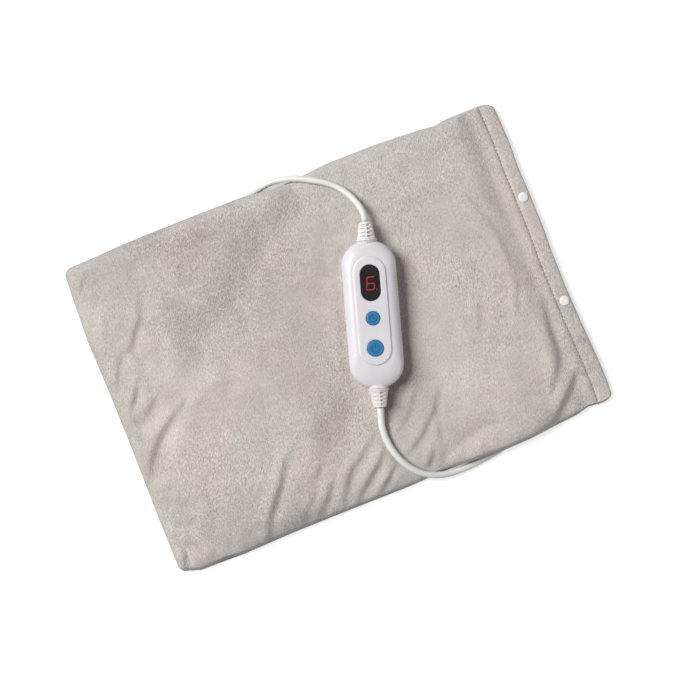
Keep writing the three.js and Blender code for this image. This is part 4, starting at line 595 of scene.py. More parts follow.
outer_bottom = lift + rim_rise + rim_round * 0.6
outer_top = np.maximum(upper_lift + thickness + sculpt, outer_bottom + 1.0)
inner_bottom = lift + FLEECE
inner_top = np.maximum(np.maximum(outer_top - FLEECE, upper_lift + thickness - FLEECE - 0.05), inner_bottom + 1.2)
inner_top = np.where(uu > HEM_LINE - 0.5, inner_bottom + MOUTH_GAP, inner_top)
inner_top = np.minimum(inner_top, outer_top - 0.8)
inner_bottom = np.minimum(inner_bottom, inner_top - 0.6)

# The seam draws the upper cloth in, most at one tuck of the lower edge
pulled = 1.1 + 2.4 * np.exp(-(((uu + 172) / 11) ** 2)) * (vv < 0)
draw = pulled * np.exp(-((sewn_edge / 2.6) ** 2)) * ease((from_mouth - 3) / 6)
long_side = HALF_WIDTH - np.abs(vv) < uu + HALF_LENGTH
top_x = xx + np.where(long_side, 0, draw)
top_y = yy - np.where(long_side, draw * np.sign(vv), 0)
skins = ((top_x, top_y, outer_top), (xx, yy, inner_top), (xx, yy, inner_bottom), (xx, yy, outer_bottom))
upper_out, upper_in, lower_in, lower_out = np.arange(4 * uu.size).reshape(4, *uu.shape)


def wall(one, two, flipped=False):
    """Faces between two lines of places, given by their numbers."""
    return [(a, c, d, b) if flipped else (a, b, d, c) for a, b, c, d in zip(one, two, one[1:], two[1:])]


def skin(lines, flipped=False):
    """Faces of a skin of the bag, upwards or, when flipped, downwards."""
    return [face for one, two in zip(lines, lines[1:]) for face in wall(one, two, flipped)]


last = len(crosswise) - 1
hem_column = int(np.argmin(np.abs(lengthwise - HEM_LINE)))
mouth_rows = np.nonzero(np.abs(crosswise) < HALF_WIDTH - MOUTH_INSET)[0]
first_row, last_row = int(mouth_rows[0]), int(mouth_rows[-1])
pocket = slice(SEAM_LINES, hem_column + 1), slice(SEAM_LINES, last - SEAM_LINES + 1)
mouth = slice(hem_column, None), slice(first_row, last_row + 1)
faces = skin(upper_out) + skin(lower_out, True) + wall(upper_out[0], lower_out[0], True)
faces += wall(upper_out[:, 0], lower_out[:, 0]) + wall(upper_out[:, -1], lower_out[:, -1], True)
for hollow in (pocket, mouth):
    above, below = upper_in[hollow], lower_in[hollow]
    faces += skin(above, True) + skin(below) + wall(above[:, 0], below[:, 0], True) + wall(above[:, -1], below[:, -1])
faces += wall(upper_in[pocket][0], lower_in[pocket][0])
for beside in (slice(SEAM_LINES, first_row + 1), slice(last_row, last - SEAM_LINES + 1)):
    faces += wall(upper_in[hem_column, beside], lower_in[hem_column, beside], True)
for beside in (slice(None, first_row), slice(last_row + 1, None)):
    faces += wall(upper_out[-1, beside], lower_out[-1, beside])
faces += wall(upper_out[-1, mouth[1]], upper_in[-1, mouth[1]]) + wall(lower_in[-1, mouth[1]], lower_out[-1, mouth[1]])
rim = [upper_out[-1], upper_in[-1], lower_in[-1], lower_out[-1]]
faces.append([rim[0][first_row - 1], rim[3][first_row - 1]] + [line[first_row] for line in rim[::-1]])
faces.append([line[last_row] for line in rim] + [rim[3][last_row + 1], rim[0][last_row + 1]])
cover = mesh_piece("plush_cover", np.concatenate([np.stack(one, -1).reshape(-1, 3) for one in skins]), faces)
work = bmesh.new()
work.from_mesh(cover.data)
bmesh.ops.delete(work, geom=[v for v in work.verts if not v.link_faces], context="VERTS")
work.to_mesh(cover.data)
work.free()

plush, place, shader = new_material(
    "short_plush", Sheen_Weight=0.35, Sheen_Roughness=0.5, Sheen_Tint=(0.95, 0.93, 0.9, 1), Specular_IOR_Level=0.15)
swayed = place.node("ShaderNodeVectorMath", {"operation": "MULTIPLY_ADD"}, {
    0: noise(place, 60, output="Color"), 1: (0.006, 0.006, 0.0), 2: place})
combed = place.node("ShaderNodeMapping", {"vector_type": "TEXTURE"}, {
    "Vector": swayed, "Rotation": (0, 0, -PICTURE_TURN), "Scale": (1 / 1350, 1 / 420, 1 / 800)})
pile = noise(combed, 1, 1)
tufts = noise(place, 640, Roughness=0.6)
brushed = noise(place, 60, 4)
elsewhere = place.node("ShaderNodeVectorMath", None, {0: place, 1: (3, 1, 0)})
strength = place.node("ShaderNodeMapRange", None, {
    "Value": noise(elsewhere, 11, 3), "From Min": 0.4, "From Max": 0.6, "To Min": 0.55, "To Max": 1.0})

# Broad patches where the cloth's colour is painted darker, or lighter where the amount is negative: painted shadow
# beside the controller, the leads and the lower relief, and painted shade and light on the sides of swells and folds;
# middle and reach in millimetres, and how much darker they look
PAINTED_SHADE_PATCHES = [
    ((-60, 60), (100, 75), 0.10), ((-130, 138), (120, 52), 0.17), ((-208, 20), (42, 150), 0.09),
    ((200, -95), (40, 70), 0.08), ((32, -85), (58, 50), 0.11), ((48, -66), (34, 46), 0.12),
    ((68, 5), (26, 70), 0.07), ((-172, 98), (46, 48), 0.07), ((26, -84), (14, 22), 0.15),
    ((-196, -38), (22, 24), 0.12), ((202, -32), (24, 70), 0.07), ((-90, 134), (70, 14), 0.07),
    ((174, -137), (40, 14), 0.10), ((4, -122), (18, 20), 0.09), ((-82, 88), (42, 30), -0.06),
    ((-66, -105), (36, 48), -0.10)]


def painted_shade_patch(centre, reach):
    """1 at the middle of a patch of painted shade, and 0 round it."""
    offset = place.node("ShaderNodeVectorMath", {"operation": "SUBTRACT"}, {
        0: place, 1: (centre[0] * MM, centre[1] * MM, 0)})
    share = place.node("ShaderNodeVectorMath", {"operation": "MULTIPLY"}, {
        0: offset, 1: (1 / MM / reach[0], 1 / MM / reach[1], 0)})
    away = place.node("ShaderNodeVectorMath", {"operation": "LENGTH"}, {0: share}, "Value")
    return place.node("ShaderNodeMapRange", {"interpolation_type": "SMOOTHSTEP"}, {
        "Value": away, "From Min": 0.25, "From Max": 1.0, "To Min": 1.0, "To Max": 0.0})


# The painted light and shade, taken off the pile's colour below.
painted_light_and_shade = sum(painted_shade_patch(centre, reach) * darker for centre, reach, darker in PAINTED_SHADE_PATCHES)
hue = place.node("ShaderNodeValToRGB", {"stops": [
    (0.36, (0.566, 0.533, 0.503)), (0.52, (0.574, 0.533, 0.503)), (0.66, (0.592, 0.534, 0.505))]}, {
    "Fac": noise(elsewhere, 13)})
mottle = (brushed - 0.5) * 0.22 + (noise(place, 14) - 0.5) * 0.22
streaks = ((pile - 0.5) * 1.3 + (tufts - 0.5) * 0.45) * strength
coloured = place.node("ShaderNodeVectorMath", {"operation": "SCALE"}, {
    0: hue, "Scale": 0.98 + mottle + streaks - painted_light_and_shade})
nap = raised((pile * 0.9 + tufts * 0.4) * strength + brushed * 0.8, 0.6, 0.001)
feed(shader, Base_Color=coloured, Roughness=0.86 + (pile - 0.5) * 0.1, Normal=nap)
dress(cover, plush, "plush", "cover")


# The hem round the mouth is sewn down with one row of lockstitches in grey thread, sunk into the pile.
# Each stitch is a short bead of thread that follows the cloth.
STITCH_PITCH = 3.6
STITCH_LENGTH = 2.7
THREAD = 0.85


def geometry_tree(name, inputs):
    """An empty node tree for a Geometry Nodes modifier, with its named inputs."""
    tree = bpy.data.node_groups.new(name, "GeometryNodeTree")
    tree.interface.new_socket("Geometry", in_out="INPUT", socket_type="NodeSocketGeometry")
    for key, kind in inputs.items():
        tree.interface.new_socket(key, in_out="INPUT", socket_type=kind)
    tree.interface.new_socket("Geometry", in_out="OUTPUT", socket_type="NodeSocketGeometry")
    return tree


def grown(name, base, tree, values):
    """The plain mesh that a Geometry Nodes tree makes on a base object, which is then removed."""
    modifier = base.modifiers.new(tree.name, "NODES")
    modifier.node_group = tree
    for item in tree.interface.items_tree:
        if item.in_out == "INPUT" and item.name in values:
            modifier[item.identifier] = values[item.name]
    bpy.context.view_layer.update()
    mesh = bpy.data.meshes.new_from_object(base.evaluated_get(bpy.context.evaluated_depsgraph_get()))
    bpy.data.objects.remove(base)
    return into_scene(name, mesh)


stitching = geometry_tree("lockstitches", {
    "Pitch": "NodeSocketFloat", "Length": "NodeSocketFloat", "Thread": "NodeSocketFloat",
    "Material": "NodeSocketMaterial"})
seam = Socket(stitching).node("NodeGroupInput", output="Geometry")
seam_curve = seam.node("GeometryNodeMeshToCurve", None, {"Mesh": seam})
seam_points = seam.node("GeometryNodeCurveToPoints", {"mode": "LENGTH"}, {
    "Curve": seam_curve, "Length": seam.twin("Pitch")}, "Points")
bead = seam.node("GeometryNodeMeshUVSphere", None, {"Segments": 8, "Rings": 6, "Radius": 0.5}, "Mesh")
bead_size = seam.node("ShaderNodeCombineXYZ", None, {
    "X": seam.twin("Thread"), "Y": seam.twin("Thread"), "Z": seam.twin("Length")})
bead_shape = seam.node("GeometryNodeTransform", None, {"Geometry": bead, "Scale": bead_size})
sewn = seam.node("GeometryNodeInstanceOnPoints", None, {
    "Points": seam_points, "Instance": bead_shape, "Rotation": seam_points.twin("Rotation")})
real = seam.node("GeometryNodeRealizeInstances", None, {"Geometry": sewn})
threaded = seam.node("GeometryNodeSetMaterial", None, {"Geometry": real, "Material": seam.twin("Material")})
seam.node("NodeGroupOutput", None, {"Geometry": threaded})

grey_thread, place, shader = new_material("grey_thread", Sheen_Weight=0.2, Specular_IOR_Level=0.3)
twist = place.node("ShaderNodeTexWave", {"bands_direction": "DIAGONAL"}, {
    "Vector": place, "Scale": 900, "Distortion": 1})
feed(shader, Base_Color=two_tone(twist, (0.16, 0.145, 0.125), (0.26, 0.24, 0.22), (0, 1)),
     Roughness=0.7 + twist * 0.1, Normal=raised(twist, 0.4, 0.0001))

stitch_places, stitch_edges = [], []
for height, clear in ((outer_top, 0.1), (outer_bottom, 0.4)):
    start = len(stitch_places)
    stitch_places += [(xx[hem_column, j], yy[hem_column, j], height[hem_column, j] + clear)
                      for j in range(2, last - 1)]
    stitch_edges += [(k, k + 1) for k in range(start, len(stitch_places) - 1)]
hem_line = bpy.data.meshes.new("hem_line")
hem_line.from_pydata([tuple(np.array(p) * MM) for p in stitch_places], stitch_edges, [])
stitches = grown("hem_stitches", into_scene("hem_line", hem_line), stitching, {
    "Pitch": STITCH_PITCH * MM, "Length": STITCH_LENGTH * MM, "Thread": THREAD * MM, "Material": grey_thread})
shade(stitches)
dress(stitches, grey_thread, "plush")


# Two white snap fasteners close the mouth. Each has a domed cap on top, riveted through the upper hem
# to its socket, and a backing cap under the lower hem, riveted to its stud.
SNAP_CAP = [(0, -2.9), (1.3, -2.9), (1.3, 0), (4.1, 0), (4.55, 0.2), (4.6, 0.45), (4.35, 0.75), (3.4, 1.1),
            (2.2, 1.32), (1.5, 1.38), (1.3, 1.3), (0, 1.26)]
BACKING_CAP = [(0, 2.9), (1.3, 2.9), (1.3, 0), (4.3, 0), (4.6, -0.15), (4.6, -0.42), (4.3, -0.6), (0, -0.6)]


def closed_piece(name, places, faces, smooth=True, sharp_above=None):
    """A closed solid, whose doubles are merged and whose faces are turned outwards."""
    piece = mesh_piece(name, places, faces, smooth)
    fix_normals(piece)
    shade(piece, smooth, sharp_above)
    return piece


def turned(name, profile, segments):
    """A turned piece from pairs of radius and height in millimetres, about Z."""
    places, rings = [], []
    angles = [2 * math.pi * n / segments for n in range(segments)]
    for radius, height in profile:
        ring = [(radius * math.cos(a), radius * math.sin(a), height) for a in angles] if radius else [(0, 0, height)]
        rings.append(range(len(places), len(places) + len(ring)))
        places += ring
    faces = []
    for low, high in zip(rings, rings[1:]):
        for n in range(segments):
            m = (n + 1) % segments
            corners = [low[n % len(low)], low[m % len(low)], high[m % len(high)], high[n % len(high)]]
            corners = list(dict.fromkeys(corners))
            if len(corners) > 2:
                faces.append(corners)
    return closed_piece(name, places, faces, sharp_above=35)


def settle(piece, matrix):
    """Moves a piece's mesh to its place, and leaves its object at the origin."""
    piece.data.transform(matrix)
    piece.data.update()
    return piece


def plastic(name, colour, rough, speck=0.02, coat=0.0, scale=900, bump_strength=0.15, milky=0.0):
    """Moulded plastic: a fine spark-eroded grain, a faint cloudiness and a worn sheen, milky where light goes in."""
    material, place, shader = new_material(
        name, Coat_Weight=coat, Coat_Roughness=0.12, Specular_IOR_Level=0.5, Subsurface_Weight=milky,
        Subsurface_Radius=(1, 0.9, 0.9), Subsurface_Scale=0.003)
    clouds = noise(place, 45, 3)
    darker = [c * (1 - 2.5 * speck) for c in colour]
    lighter = [min(1, c * (1 + speck)) for c in colour]
    feed(shader, Base_Color=two_tone(clouds, darker, lighter), Roughness=rough + (clouds - 0.5) * 0.12,
         Normal=raised(noise(place, scale, 3), bump_strength, 0.00006))
    return material


snap_plastic = plastic("snap_plastic", (0.84, 0.84, 0.84), 0.28)
for snap in ("snap_1", "snap_2"):
    for name, profile in ((f"{snap}_cap", SNAP_CAP), (f"{snap}_backing_cap", BACKING_CAP)):
        low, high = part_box(name)
        widest = max(nodes[name].data.polygons, key=lambda face: face.area)
        normal = widest.normal if widest.normal.z > 0 else -widest.normal
        cap = turned(f"{name}_moulding", profile, 40)
        settle(cap, Vector((0, 0, 1)).rotation_difference(normal).to_matrix().to_4x4())
        places = np.array([v.co for v in cap.data.vertices])
        own_low, own_high = Vector(places.min(0)), Vector(places.max(0))
        shift = (low + high) / 2 - (own_low + own_high) / 2
        shift.z = high.z - own_high.z if profile is SNAP_CAP else low.z - own_low.z
        settle(cap, Matrix.Translation(shift))
        dress(cap, snap_plastic, "snap_plastic", name)
    for part in ("socket", "stud"):
        nodes[f"{snap}_{part}"].material_slots[0].material = snap_plastic


# The controller is a white moulded housing in two shells, a deep tray and a domed lid with a raised panel.
# It is 135 mm long, lies on the pad and is held together by four screws from below.
CONTROLLER_LENGTH = 135
CONTROLLER_WIDTH = 50
CONTROLLER_BASE = 12.3
TOP_CORNER = 22.5
BOTTOM_CORNER = 23
PARTING = 11.5
PARTING_CHAMFER = 0.25
PANEL_TOP = 23.9
DOME_TOP = 22.5
PANEL_WIDTH = 29.7
PANEL_LENGTH = 99.5
PANEL_OFFSET = 3.4
SHELL_WALL = 2
DISPLAY_WIDTH = 18.2
DISPLAY_LENGTH = 33.6
DISPLAY_OFFSET = 28.8
WINDOW_LEDGE = 1.2
NECK_RADIUS = 5.1
NECK_REACH = 9.8
ABOVE_PANEL = 26
TIMER_BUTTON = (12.5, -3.5)
POWER_BUTTON = (14.8, -30.8)
SCREW_PLACES = [(x, y) for x in (-16.5, 16.5) for y in (-43, 43)]
controller_frame = (Matrix.Translation(Vector((*CONTROLLER_PLACE, CONTROLLER_BASE)) * MM)
                    @ Matrix.Rotation(CONTROLLER_TURN, 4, "Z"))


def rounded_ring(half_width, half_length, top_radius, bottom_radius, z, steps=18, centre_y=0):
    """A ring of places round a rectangle with round corners, from +X through +Y."""
    ring = []
    for side_x, side_y, quarter in ((1, 1, 0), (-1, 1, 1), (-1, -1, 2), (1, -1, 3)):
        radius = min(top_radius if side_y > 0 else bottom_radius, half_width)
        for k in range(steps + 1):
            angle = (quarter + k / steps) * math.pi / 2
            ring.append((side_x * (half_width - radius) + radius * math.cos(angle),
                         centre_y + side_y * (half_length - radius) + radius * math.sin(angle), z))
    return np.array(ring)


def loft(name, rings):
    """A closed solid through rings of equal count, capped at both ends."""
    return closed_piece(name, np.vstack(rings), ring_faces(len(rings), len(rings[0])), sharp_above=32)


def combine(piece, operation, others):
    """Cuts other solids out of a piece, or unites it with them, and removes them."""
    for other in others:
        modifier = piece.modifiers.new(operation, "BOOLEAN")
        modifier.operation = operation
        modifier.solver = "EXACT"
        modifier.object = other
    bpy.context.view_layer.update()
    mesh = bpy.data.meshes.new_from_object(piece.evaluated_get(bpy.context.evaluated_depsgraph_get()))
    piece.modifiers.clear()
    piece.data = mesh
    for other in others:
        bpy.data.objects.remove(other)


def carve(piece, cutters, sharp_above=32):
    combine(piece, "DIFFERENCE", cutters)
    shade(piece, True, sharp_above)
    return piece


def shell_ring(inset, z):
    return rounded_ring(CONTROLLER_WIDTH / 2 - inset, CONTROLLER_LENGTH / 2 - inset,
                        TOP_CORNER - inset * 0.6, BOTTOM_CORNER - inset * 0.7, z)


def panel_ring(inset, z):
    half = PANEL_WIDTH / 2 - inset
    return rounded_ring(half, PANEL_LENGTH / 2 - inset, half, half, z, centre_y=PANEL_OFFSET)


def lid_rings(wall):
    """Rings of the lid's outside, or of its inside one wall further in."""
    outer, inner = shell_ring(wall, 0), panel_ring(wall, 0)
    rings = [shell_ring(wall, PARTING + 0.3)] if wall else [
        shell_ring(PARTING_CHAMFER, PARTING + 0.3), shell_ring(0, PARTING + 0.6)]
    for angle in np.radians(np.linspace(0, 90, 15)):
        share = 1 - math.cos(angle)
        ring = outer * (1 - share) + inner * share
        ring[:, 2] = PARTING + 2 + (DOME_TOP - PARTING - 2 - wall) * math.sin(angle)
        rings.append(ring)
    return rings


def tray_rings(wall):
    """Rings of the tray's outside, or of its inside one wall further in, from its open rim down."""
    rings = [shell_ring(6.2 * math.sin(angle) ** 1.6 + wall, wall + (6.4 - wall * 0.3) * (1 - math.sin(angle)))
             for angle in np.radians(np.linspace(90, 0, 12))]
    rings += [shell_ring(wall, PARTING)] if wall else [
        shell_ring(0, PARTING - 0.3), shell_ring(PARTING_CHAMFER, PARTING)]
    return rings[::-1]


def obround(name, width, length, levels, centre_y, steps=12):
    """A cutter or plate with round ends: pairs of extra size and height, from the bottom up."""
    return loft(name, [rounded_ring(width / 2 + grow, length / 2 + grow, width / 2 + grow, width / 2 + grow,
                                    z, steps, centre_y) for grow, z in levels])


def in_end_wall(side, heading):
    """The place of a turned piece in an end wall of the housing, along its length."""
    return (Matrix.Translation((0, side * CONTROLLER_LENGTH / 2 * MM, PARTING * MM))
            @ Matrix.Rotation(-heading * math.pi / 2, 4, "X"))


def neck_cutters():
    profile = [(0, -NECK_REACH), (NECK_RADIUS, -NECK_REACH), (NECK_RADIUS, NECK_REACH), (0, NECK_REACH)]
    return [settle(turned("neck", profile, 40), in_end_wall(side, -1)) for side in (1, -1)]


panel_rise = [panel_ring(-0.3, DOME_TOP + 0.02), panel_ring(0.02, DOME_TOP + 0.16), panel_ring(0.12, DOME_TOP + 0.7),
              panel_ring(0.42, PANEL_TOP - 0.24), panel_ring(0.8, PANEL_TOP - 0.06), panel_ring(1.4, PANEL_TOP)]
lid = loft("controller_lid", lid_rings(SHELL_WALL)[::-1] + lid_rings(0)[:-1] + panel_rise)
cutters = [
    obround("window", DISPLAY_WIDTH, DISPLAY_LENGTH, [
        (0, PANEL_TOP - 1.9), (0, PANEL_TOP - 0.35), (0.45, PANEL_TOP + 0.1), (0.45, ABOVE_PANEL)], DISPLAY_OFFSET),
    obround("window_ledge", DISPLAY_WIDTH - 2 * WINDOW_LEDGE, DISPLAY_LENGTH - 2 * WINDOW_LEDGE, [
        (0, PARTING), (0, PANEL_TOP)], DISPLAY_OFFSET),
    *neck_cutters()]
for diameter, offset in (TIMER_BUTTON, POWER_BUTTON):
    bore, mouth_radius = diameter / 2 + 0.3, diameter / 2 + 0.75
    hole = turned("hole", [(0, PARTING), (bore, PARTING), (bore, PANEL_TOP - 0.35), (mouth_radius, PANEL_TOP + 0.1),
                           (mouth_radius, ABOVE_PANEL), (0, ABOVE_PANEL)], 56)
    cutters.append(settle(hole, Matrix.Translation((0, offset * MM, 0))))
for side in (-1, 1):
    boss = turned("boss", [(0, -3.6), (7.0, -3.6), (8.9, -0.7), (9.2, -0.2), (9.1, 0.05), (0, 0.05)], 56)
    settle(boss, in_end_wall(side, side))
    below = loft("below", [np.array([(-12, -80, z), (12, -80, z), (12, 80, z), (-12, 80, z)], float)
                           for z in (-5, PARTING + 0.6)])
    combine(lid, "UNION", [carve(boss, [below])])
    seat = turned("seat", [(0, -7.2), (6.3, -7.2), (6.3, -4.6), (0, -4.6)], 40)
    cutters.append(settle(seat, in_end_wall(side, side)))
carve(lid, cutters)

tray = loft("controller_tray", tray_rings(SHELL_WALL)[::-1] + tray_rings(0))
wells = neck_cutters()
for x, y in SCREW_PLACES:
    well = turned("well", [(0, -2), (2.6, -2), (2.6, 1.6), (1.6, 1.6), (1.6, 8), (0, 8)], 24)
    wells.append(settle(well, Matrix.Translation((x * MM, y * MM, 0))))
carve(tray, wells)
white_plastic = plastic("white_housing", (0.74, 0.705, 0.735), 0.36, 0.012, 0.12, milky=0.3)
dress(settle(lid, controller_frame), white_plastic, "white_plastic", "controller_top_shell")
dress(settle(tray, controller_frame), white_plastic, "white_plastic", "controller_base_shell")


# The display window is a black polished lens with a lit red figure behind it.
# The figure is made of slanted bars, as on any seven-bar display.
lens = obround("display_window", DISPLAY_WIDTH - 0.6, DISPLAY_LENGTH - 0.6, [
    (0, PANEL_TOP - 1.6), (0, PANEL_TOP - 0.3), (-0.15, PANEL_TOP - 0.1), (-0.5, PANEL_TOP)], DISPLAY_OFFSET, 20)
polished_lens, place, shader = new_material("polished_lens", Specular_IOR_Level=0.2)
smudge = noise(place, 120, 4)
feed(shader, Base_Color=two_tone(smudge, (0.010, 0.007, 0.009), (0.020, 0.013, 0.016)), Roughness=0.07 + smudge * 0.07)
dress(settle(lens, controller_frame), polished_lens, "lens_plastic", "display_lens")

DIGIT_WIDTH = 7.0
DIGIT_HEIGHT = 11.6
DIGIT_OFFSET = (0.3, DISPLAY_OFFSET - 0.5)
BAR = 1.0
BAR_GAP = 0.25
POINT_RADIUS = 0.7
SLANT = 0.12


def display_bar(centre, across, length):
    """One bar of the figure: a thin plate with pointed ends."""
    half, thick = length / 2, BAR / 2
    outline = [(-half, 0), (-half + thick, thick), (half - thick, thick), (half, 0), (half - thick, -thick),
               (-half + thick, -thick)]
    if not across:
        outline = [(-y, x) for x, y in outline]
    return [(centre[0] + x, centre[1] + y) for x, y in outline]


half_digit, half_width = DIGIT_HEIGHT / 2, DIGIT_WIDTH / 2
bars = [display_bar((0, y), True, DIGIT_WIDTH - BAR_GAP) for y in (half_digit, 0, -half_digit)]
bars += [display_bar((x, y), False, half_digit - BAR_GAP) for x, y in (
    (-half_width, half_digit / 2), (-half_width, -half_digit / 2), (half_width, -half_digit / 2))]
bars.append([(half_width + 2.3 + POINT_RADIUS * math.cos(a), -half_digit + POINT_RADIUS * math.sin(a))
             for a in np.linspace(0, 2 * math.pi, 12, False)])
digit_places, digit_faces = [], []
for outline in bars:
    first = len(digit_places)
    for z in (PANEL_TOP - 0.02, PANEL_TOP + 0.03):
        digit_places += [(x + SLANT * y + DIGIT_OFFSET[0], y + DIGIT_OFFSET[1], z) for x, y in outline]
    digit_faces += [[first + n for n in face] for face in ring_faces(2, len(outline))]
digit = settle(closed_piece("display_figure", digit_places, digit_faces, False), controller_frame)
lit_red, place, shader = new_material("lit_red", Roughness=0.3, Emission_Strength=0.34)
glow_tint = two_tone(noise(place, 700), (0.20, 0.012, 0.02), (0.34, 0.03, 0.04))
feed(shader, Base_Color=glow_tint, Emission_Color=glow_tint)
dress(digit, lit_red, "lens_plastic")


# Two round blue push buttons stand proud of the panel: the small one sets the timer, the large one the power.
# Their signs are fine raised lines, a clock and the usual broken ring with a bar.
BUTTON_RISE = 0.7
BUTTON_FLANGE = 1.2
SIGN_LINE = 0.72
blue_plastic = plastic("blue_button", (0.010, 0.19, 0.385), 0.42, 0.03)
ink = plastic("dark_blue_sign", (0.004, 0.045, 0.125), 0.5, 0.02)


def ribbon(path, width, low, high):
    """A flat line of constant width along a path in plan, as places and faces."""
    path = np.array(path, float)
    tangent = np.gradient(path, axis=0)
    tangent /= np.linalg.norm(tangent, axis=1)[:, None]
    side = np.stack([-tangent[:, 1], tangent[:, 0]], 1) * width / 2
    left, right, count = path + side, path - side, len(path)
    places = [(*p, z) for z in (low, high) for line in (left, right) for p in line]
    faces = []
    for a in range(count - 1):
        b = a + 1
        faces += [(a, b, count + b, count + a), (2 * count + a, 3 * count + a, 3 * count + b, 2 * count + b),
                  (a, 2 * count + a, 2 * count + b, b), (count + a, count + b, 3 * count + b, 3 * count + a)]
    faces += [(0, count, 3 * count, 2 * count), (count - 1, 3 * count - 1, 4 * count - 1, 2 * count - 1)]
    return places, faces


def arc(radius, start, end):
    return [(radius * math.cos(a), radius * math.sin(a)) for a in np.radians(np.linspace(start, end, 28))]


SIGNS = {
    "timer": [arc(3.1, 60, 405), [(0, 0), (0, 2.0)], [(0, 0), (1.5, 0)]],
    "power": [arc(3.6, 120, 420), [(0, 0.6), (0, 4.6)]],
}
for name, (diameter, offset) in (("timer", TIMER_BUTTON), ("power", POWER_BUTTON)):
    radius, flange, top = diameter / 2, diameter / 2 + BUTTON_FLANGE, PANEL_TOP + BUTTON_RISE
    cap = turned(f"{name}_button_cap", [
        (0, 17.4), (2, 17.4), (2, 19.7), (flange, 19.7), (flange, 20.7), (radius, 20.7), (radius, top - 0.6),
        (radius - 0.1, top - 0.28), (radius - 0.35, top - 0.1), (radius - 0.8, top), (radius - 1.6, top - 0.03),
        (radius * 0.5, top - 0.12), (0, top - 0.16)], 56)
    sign_places, sign_faces = [], []
    for path in SIGNS[name]:
        places, faces = ribbon(path, SIGN_LINE, top - 0.2, top - 0.02)
        sign_faces += [[len(sign_places) + n for n in face] for face in faces]
        sign_places += places
    sign = closed_piece(f"{name}_sign", sign_places, sign_faces, False)
    for piece in (cap, sign):
        settle(piece, controller_frame @ Matrix.Translation((0, offset * MM, 0)))
    dress(cap, blue_plastic, "blue_plastic", f"{name}_button", body=f"{name}_button")
    dress(sign, ink, "blue_plastic", body=f"{name}_button")


# The strain reliefs are tapered rubber sleeves, slotted so that they bend, with a collar against the housing.
# A neck and a flange hold each one in the seat between the two shells.
SLEEVE_RADIUS = 8.36
SLEEVE_TAPER = 0.161
SLOT_WIDTH = 1.6
SLOT_WEB = 0.8
SLOT_DEPTH = 0.62
SLOT_PITCH = 3.45
rubber = plastic("white_rubber", (0.80, 0.765, 0.745), 0.45, 0.02, 0.0, 1200, 0.12)


def strain_relief(name, lead_diameter):
    sleeve = turned(name, [
        (0, -6.9), (5.8, -6.9), (6, -6.7), (6, -5.1), (5.8, -4.9), (4.8, -4.9), (4.8, 0.3), (9.3, 0.3), (9.5, 0.6),
        (9.45, 1.4), (9.1, 2.0), (8.5, 2.3), (SLEEVE_RADIUS, 2.6), (6.15, 16.3), (5.95, 17.0), (5.5, 17.35),
        (lead_diameter / 2 + 0.9, 17.4), (0, 17.4)], 56)
    slots = []
    for row in range(4):
        along = 3.3 + row * SLOT_PITCH
        radius = SLEEVE_RADIUS - (along - 2.6) * SLEEVE_TAPER
        for side_x, side_y in ((-1, -1), (-1, 1), (1, -1), (1, 1)):
            x0, x1 = sorted((side_x * SLOT_WEB, side_x * (SLOT_WEB + radius)))
            y0, y1 = sorted((side_y * radius * SLOT_DEPTH, side_y * (radius * SLOT_DEPTH + radius)))
            slots.append(loft("slot", [np.array([(x0, y0, z), (x1, y0, z), (x1, y1, z), (x0, y1, z)])
                                       for z in (along, along + SLOT_WIDTH)]))
    return carve(sleeve, slots, 30)


for name, lead_diameter, side in (("pad_lead_strain_relief", PAD_LEAD_DIAMETER, 1),
                                  ("mains_lead_strain_relief", MAINS_LEAD_DIAMETER, -1)):
    relief = strain_relief(name + "_sleeve", lead_diameter)
    settle(relief, controller_frame @ in_end_wall(side, side))
    dress(relief, rubber, "lead_jacket", name)


# The plug at the mains lead's end is a flat two-pin moulding with a ribbed relief, and lies under the pad.
# Its pins are plated brass, sleeved in black plastic for half their length.
PLUG_LENGTH = 36
PLUG_HEIGHT = 6.85
PIN_OFFSET = 9.5
RIB_PITCH = 3.45
plug_frame = Matrix.Translation(Vector((PLUG_PLACE[0], PLUG_PLACE[1], PLUG_HEIGHT)) * MM)


def plug_ring(along, half_width, half_height, steps=12):
    ring = []
    for side in (1, -1):
        for k in range(steps + 1):
            angle = math.pi * (k / steps - side / 2)
            ring.append((side * (half_width - half_height) + half_height * math.cos(angle), along,
                         half_height * math.sin(angle)))
    return np.array(ring)


def at_pin(x):
    """The place of a turned piece at the plug's face, in the plug's own frame."""
    return Matrix.Translation((x * MM, PLUG_LENGTH * MM, 0)) @ Matrix.Rotation(-math.pi / 2, 4, "X")


plug_body = loft("plug_moulding", [plug_ring(*section) for section in (
    (0, 8.2, 5.0), (0.6, 8.8, 5.5), (4.3, 11.6, 6.3), (10, 13.4, 6.7), (18, 15.5, 6.85), (24, 17.0, 6.85),
    (28.8, 17.65, 6.85), (34.8, 17.65, 6.7), (35.6, 17.4, 6.5), (PLUG_LENGTH, 16.9, 6.1))])
carve(plug_body, [settle(turned("pin_hole", [(0, -7.3), (1.6, -7.3), (1.6, 1), (0, 1)], 20), at_pin(x))
                  for x in (-PIN_OFFSET, PIN_OFFSET)])
relief_profile = [(0, -PLUG_RELIEF_LENGTH)]
for k in range(7):
    start, grow = k * RIB_PITCH - PLUG_RELIEF_LENGTH, 3.85 + k * 0.16
    relief_profile += [(grow - 0.1, start), (grow + 0.15, start + 0.25), (grow + 0.2, start + 1.9),
                       (grow - 0.05, start + 2.15), (grow * 0.86, start + 2.3), (grow * 0.86, start + 3.2)]
relief_profile += [(5, -0.8), (5, -0.3), (0, -0.3)]
plug_relief = settle(turned("plug_relief_sleeve", relief_profile, 40), Matrix.Rotation(-math.pi / 2, 4, "X"))
plug_pieces = [plug_body, plug_relief]
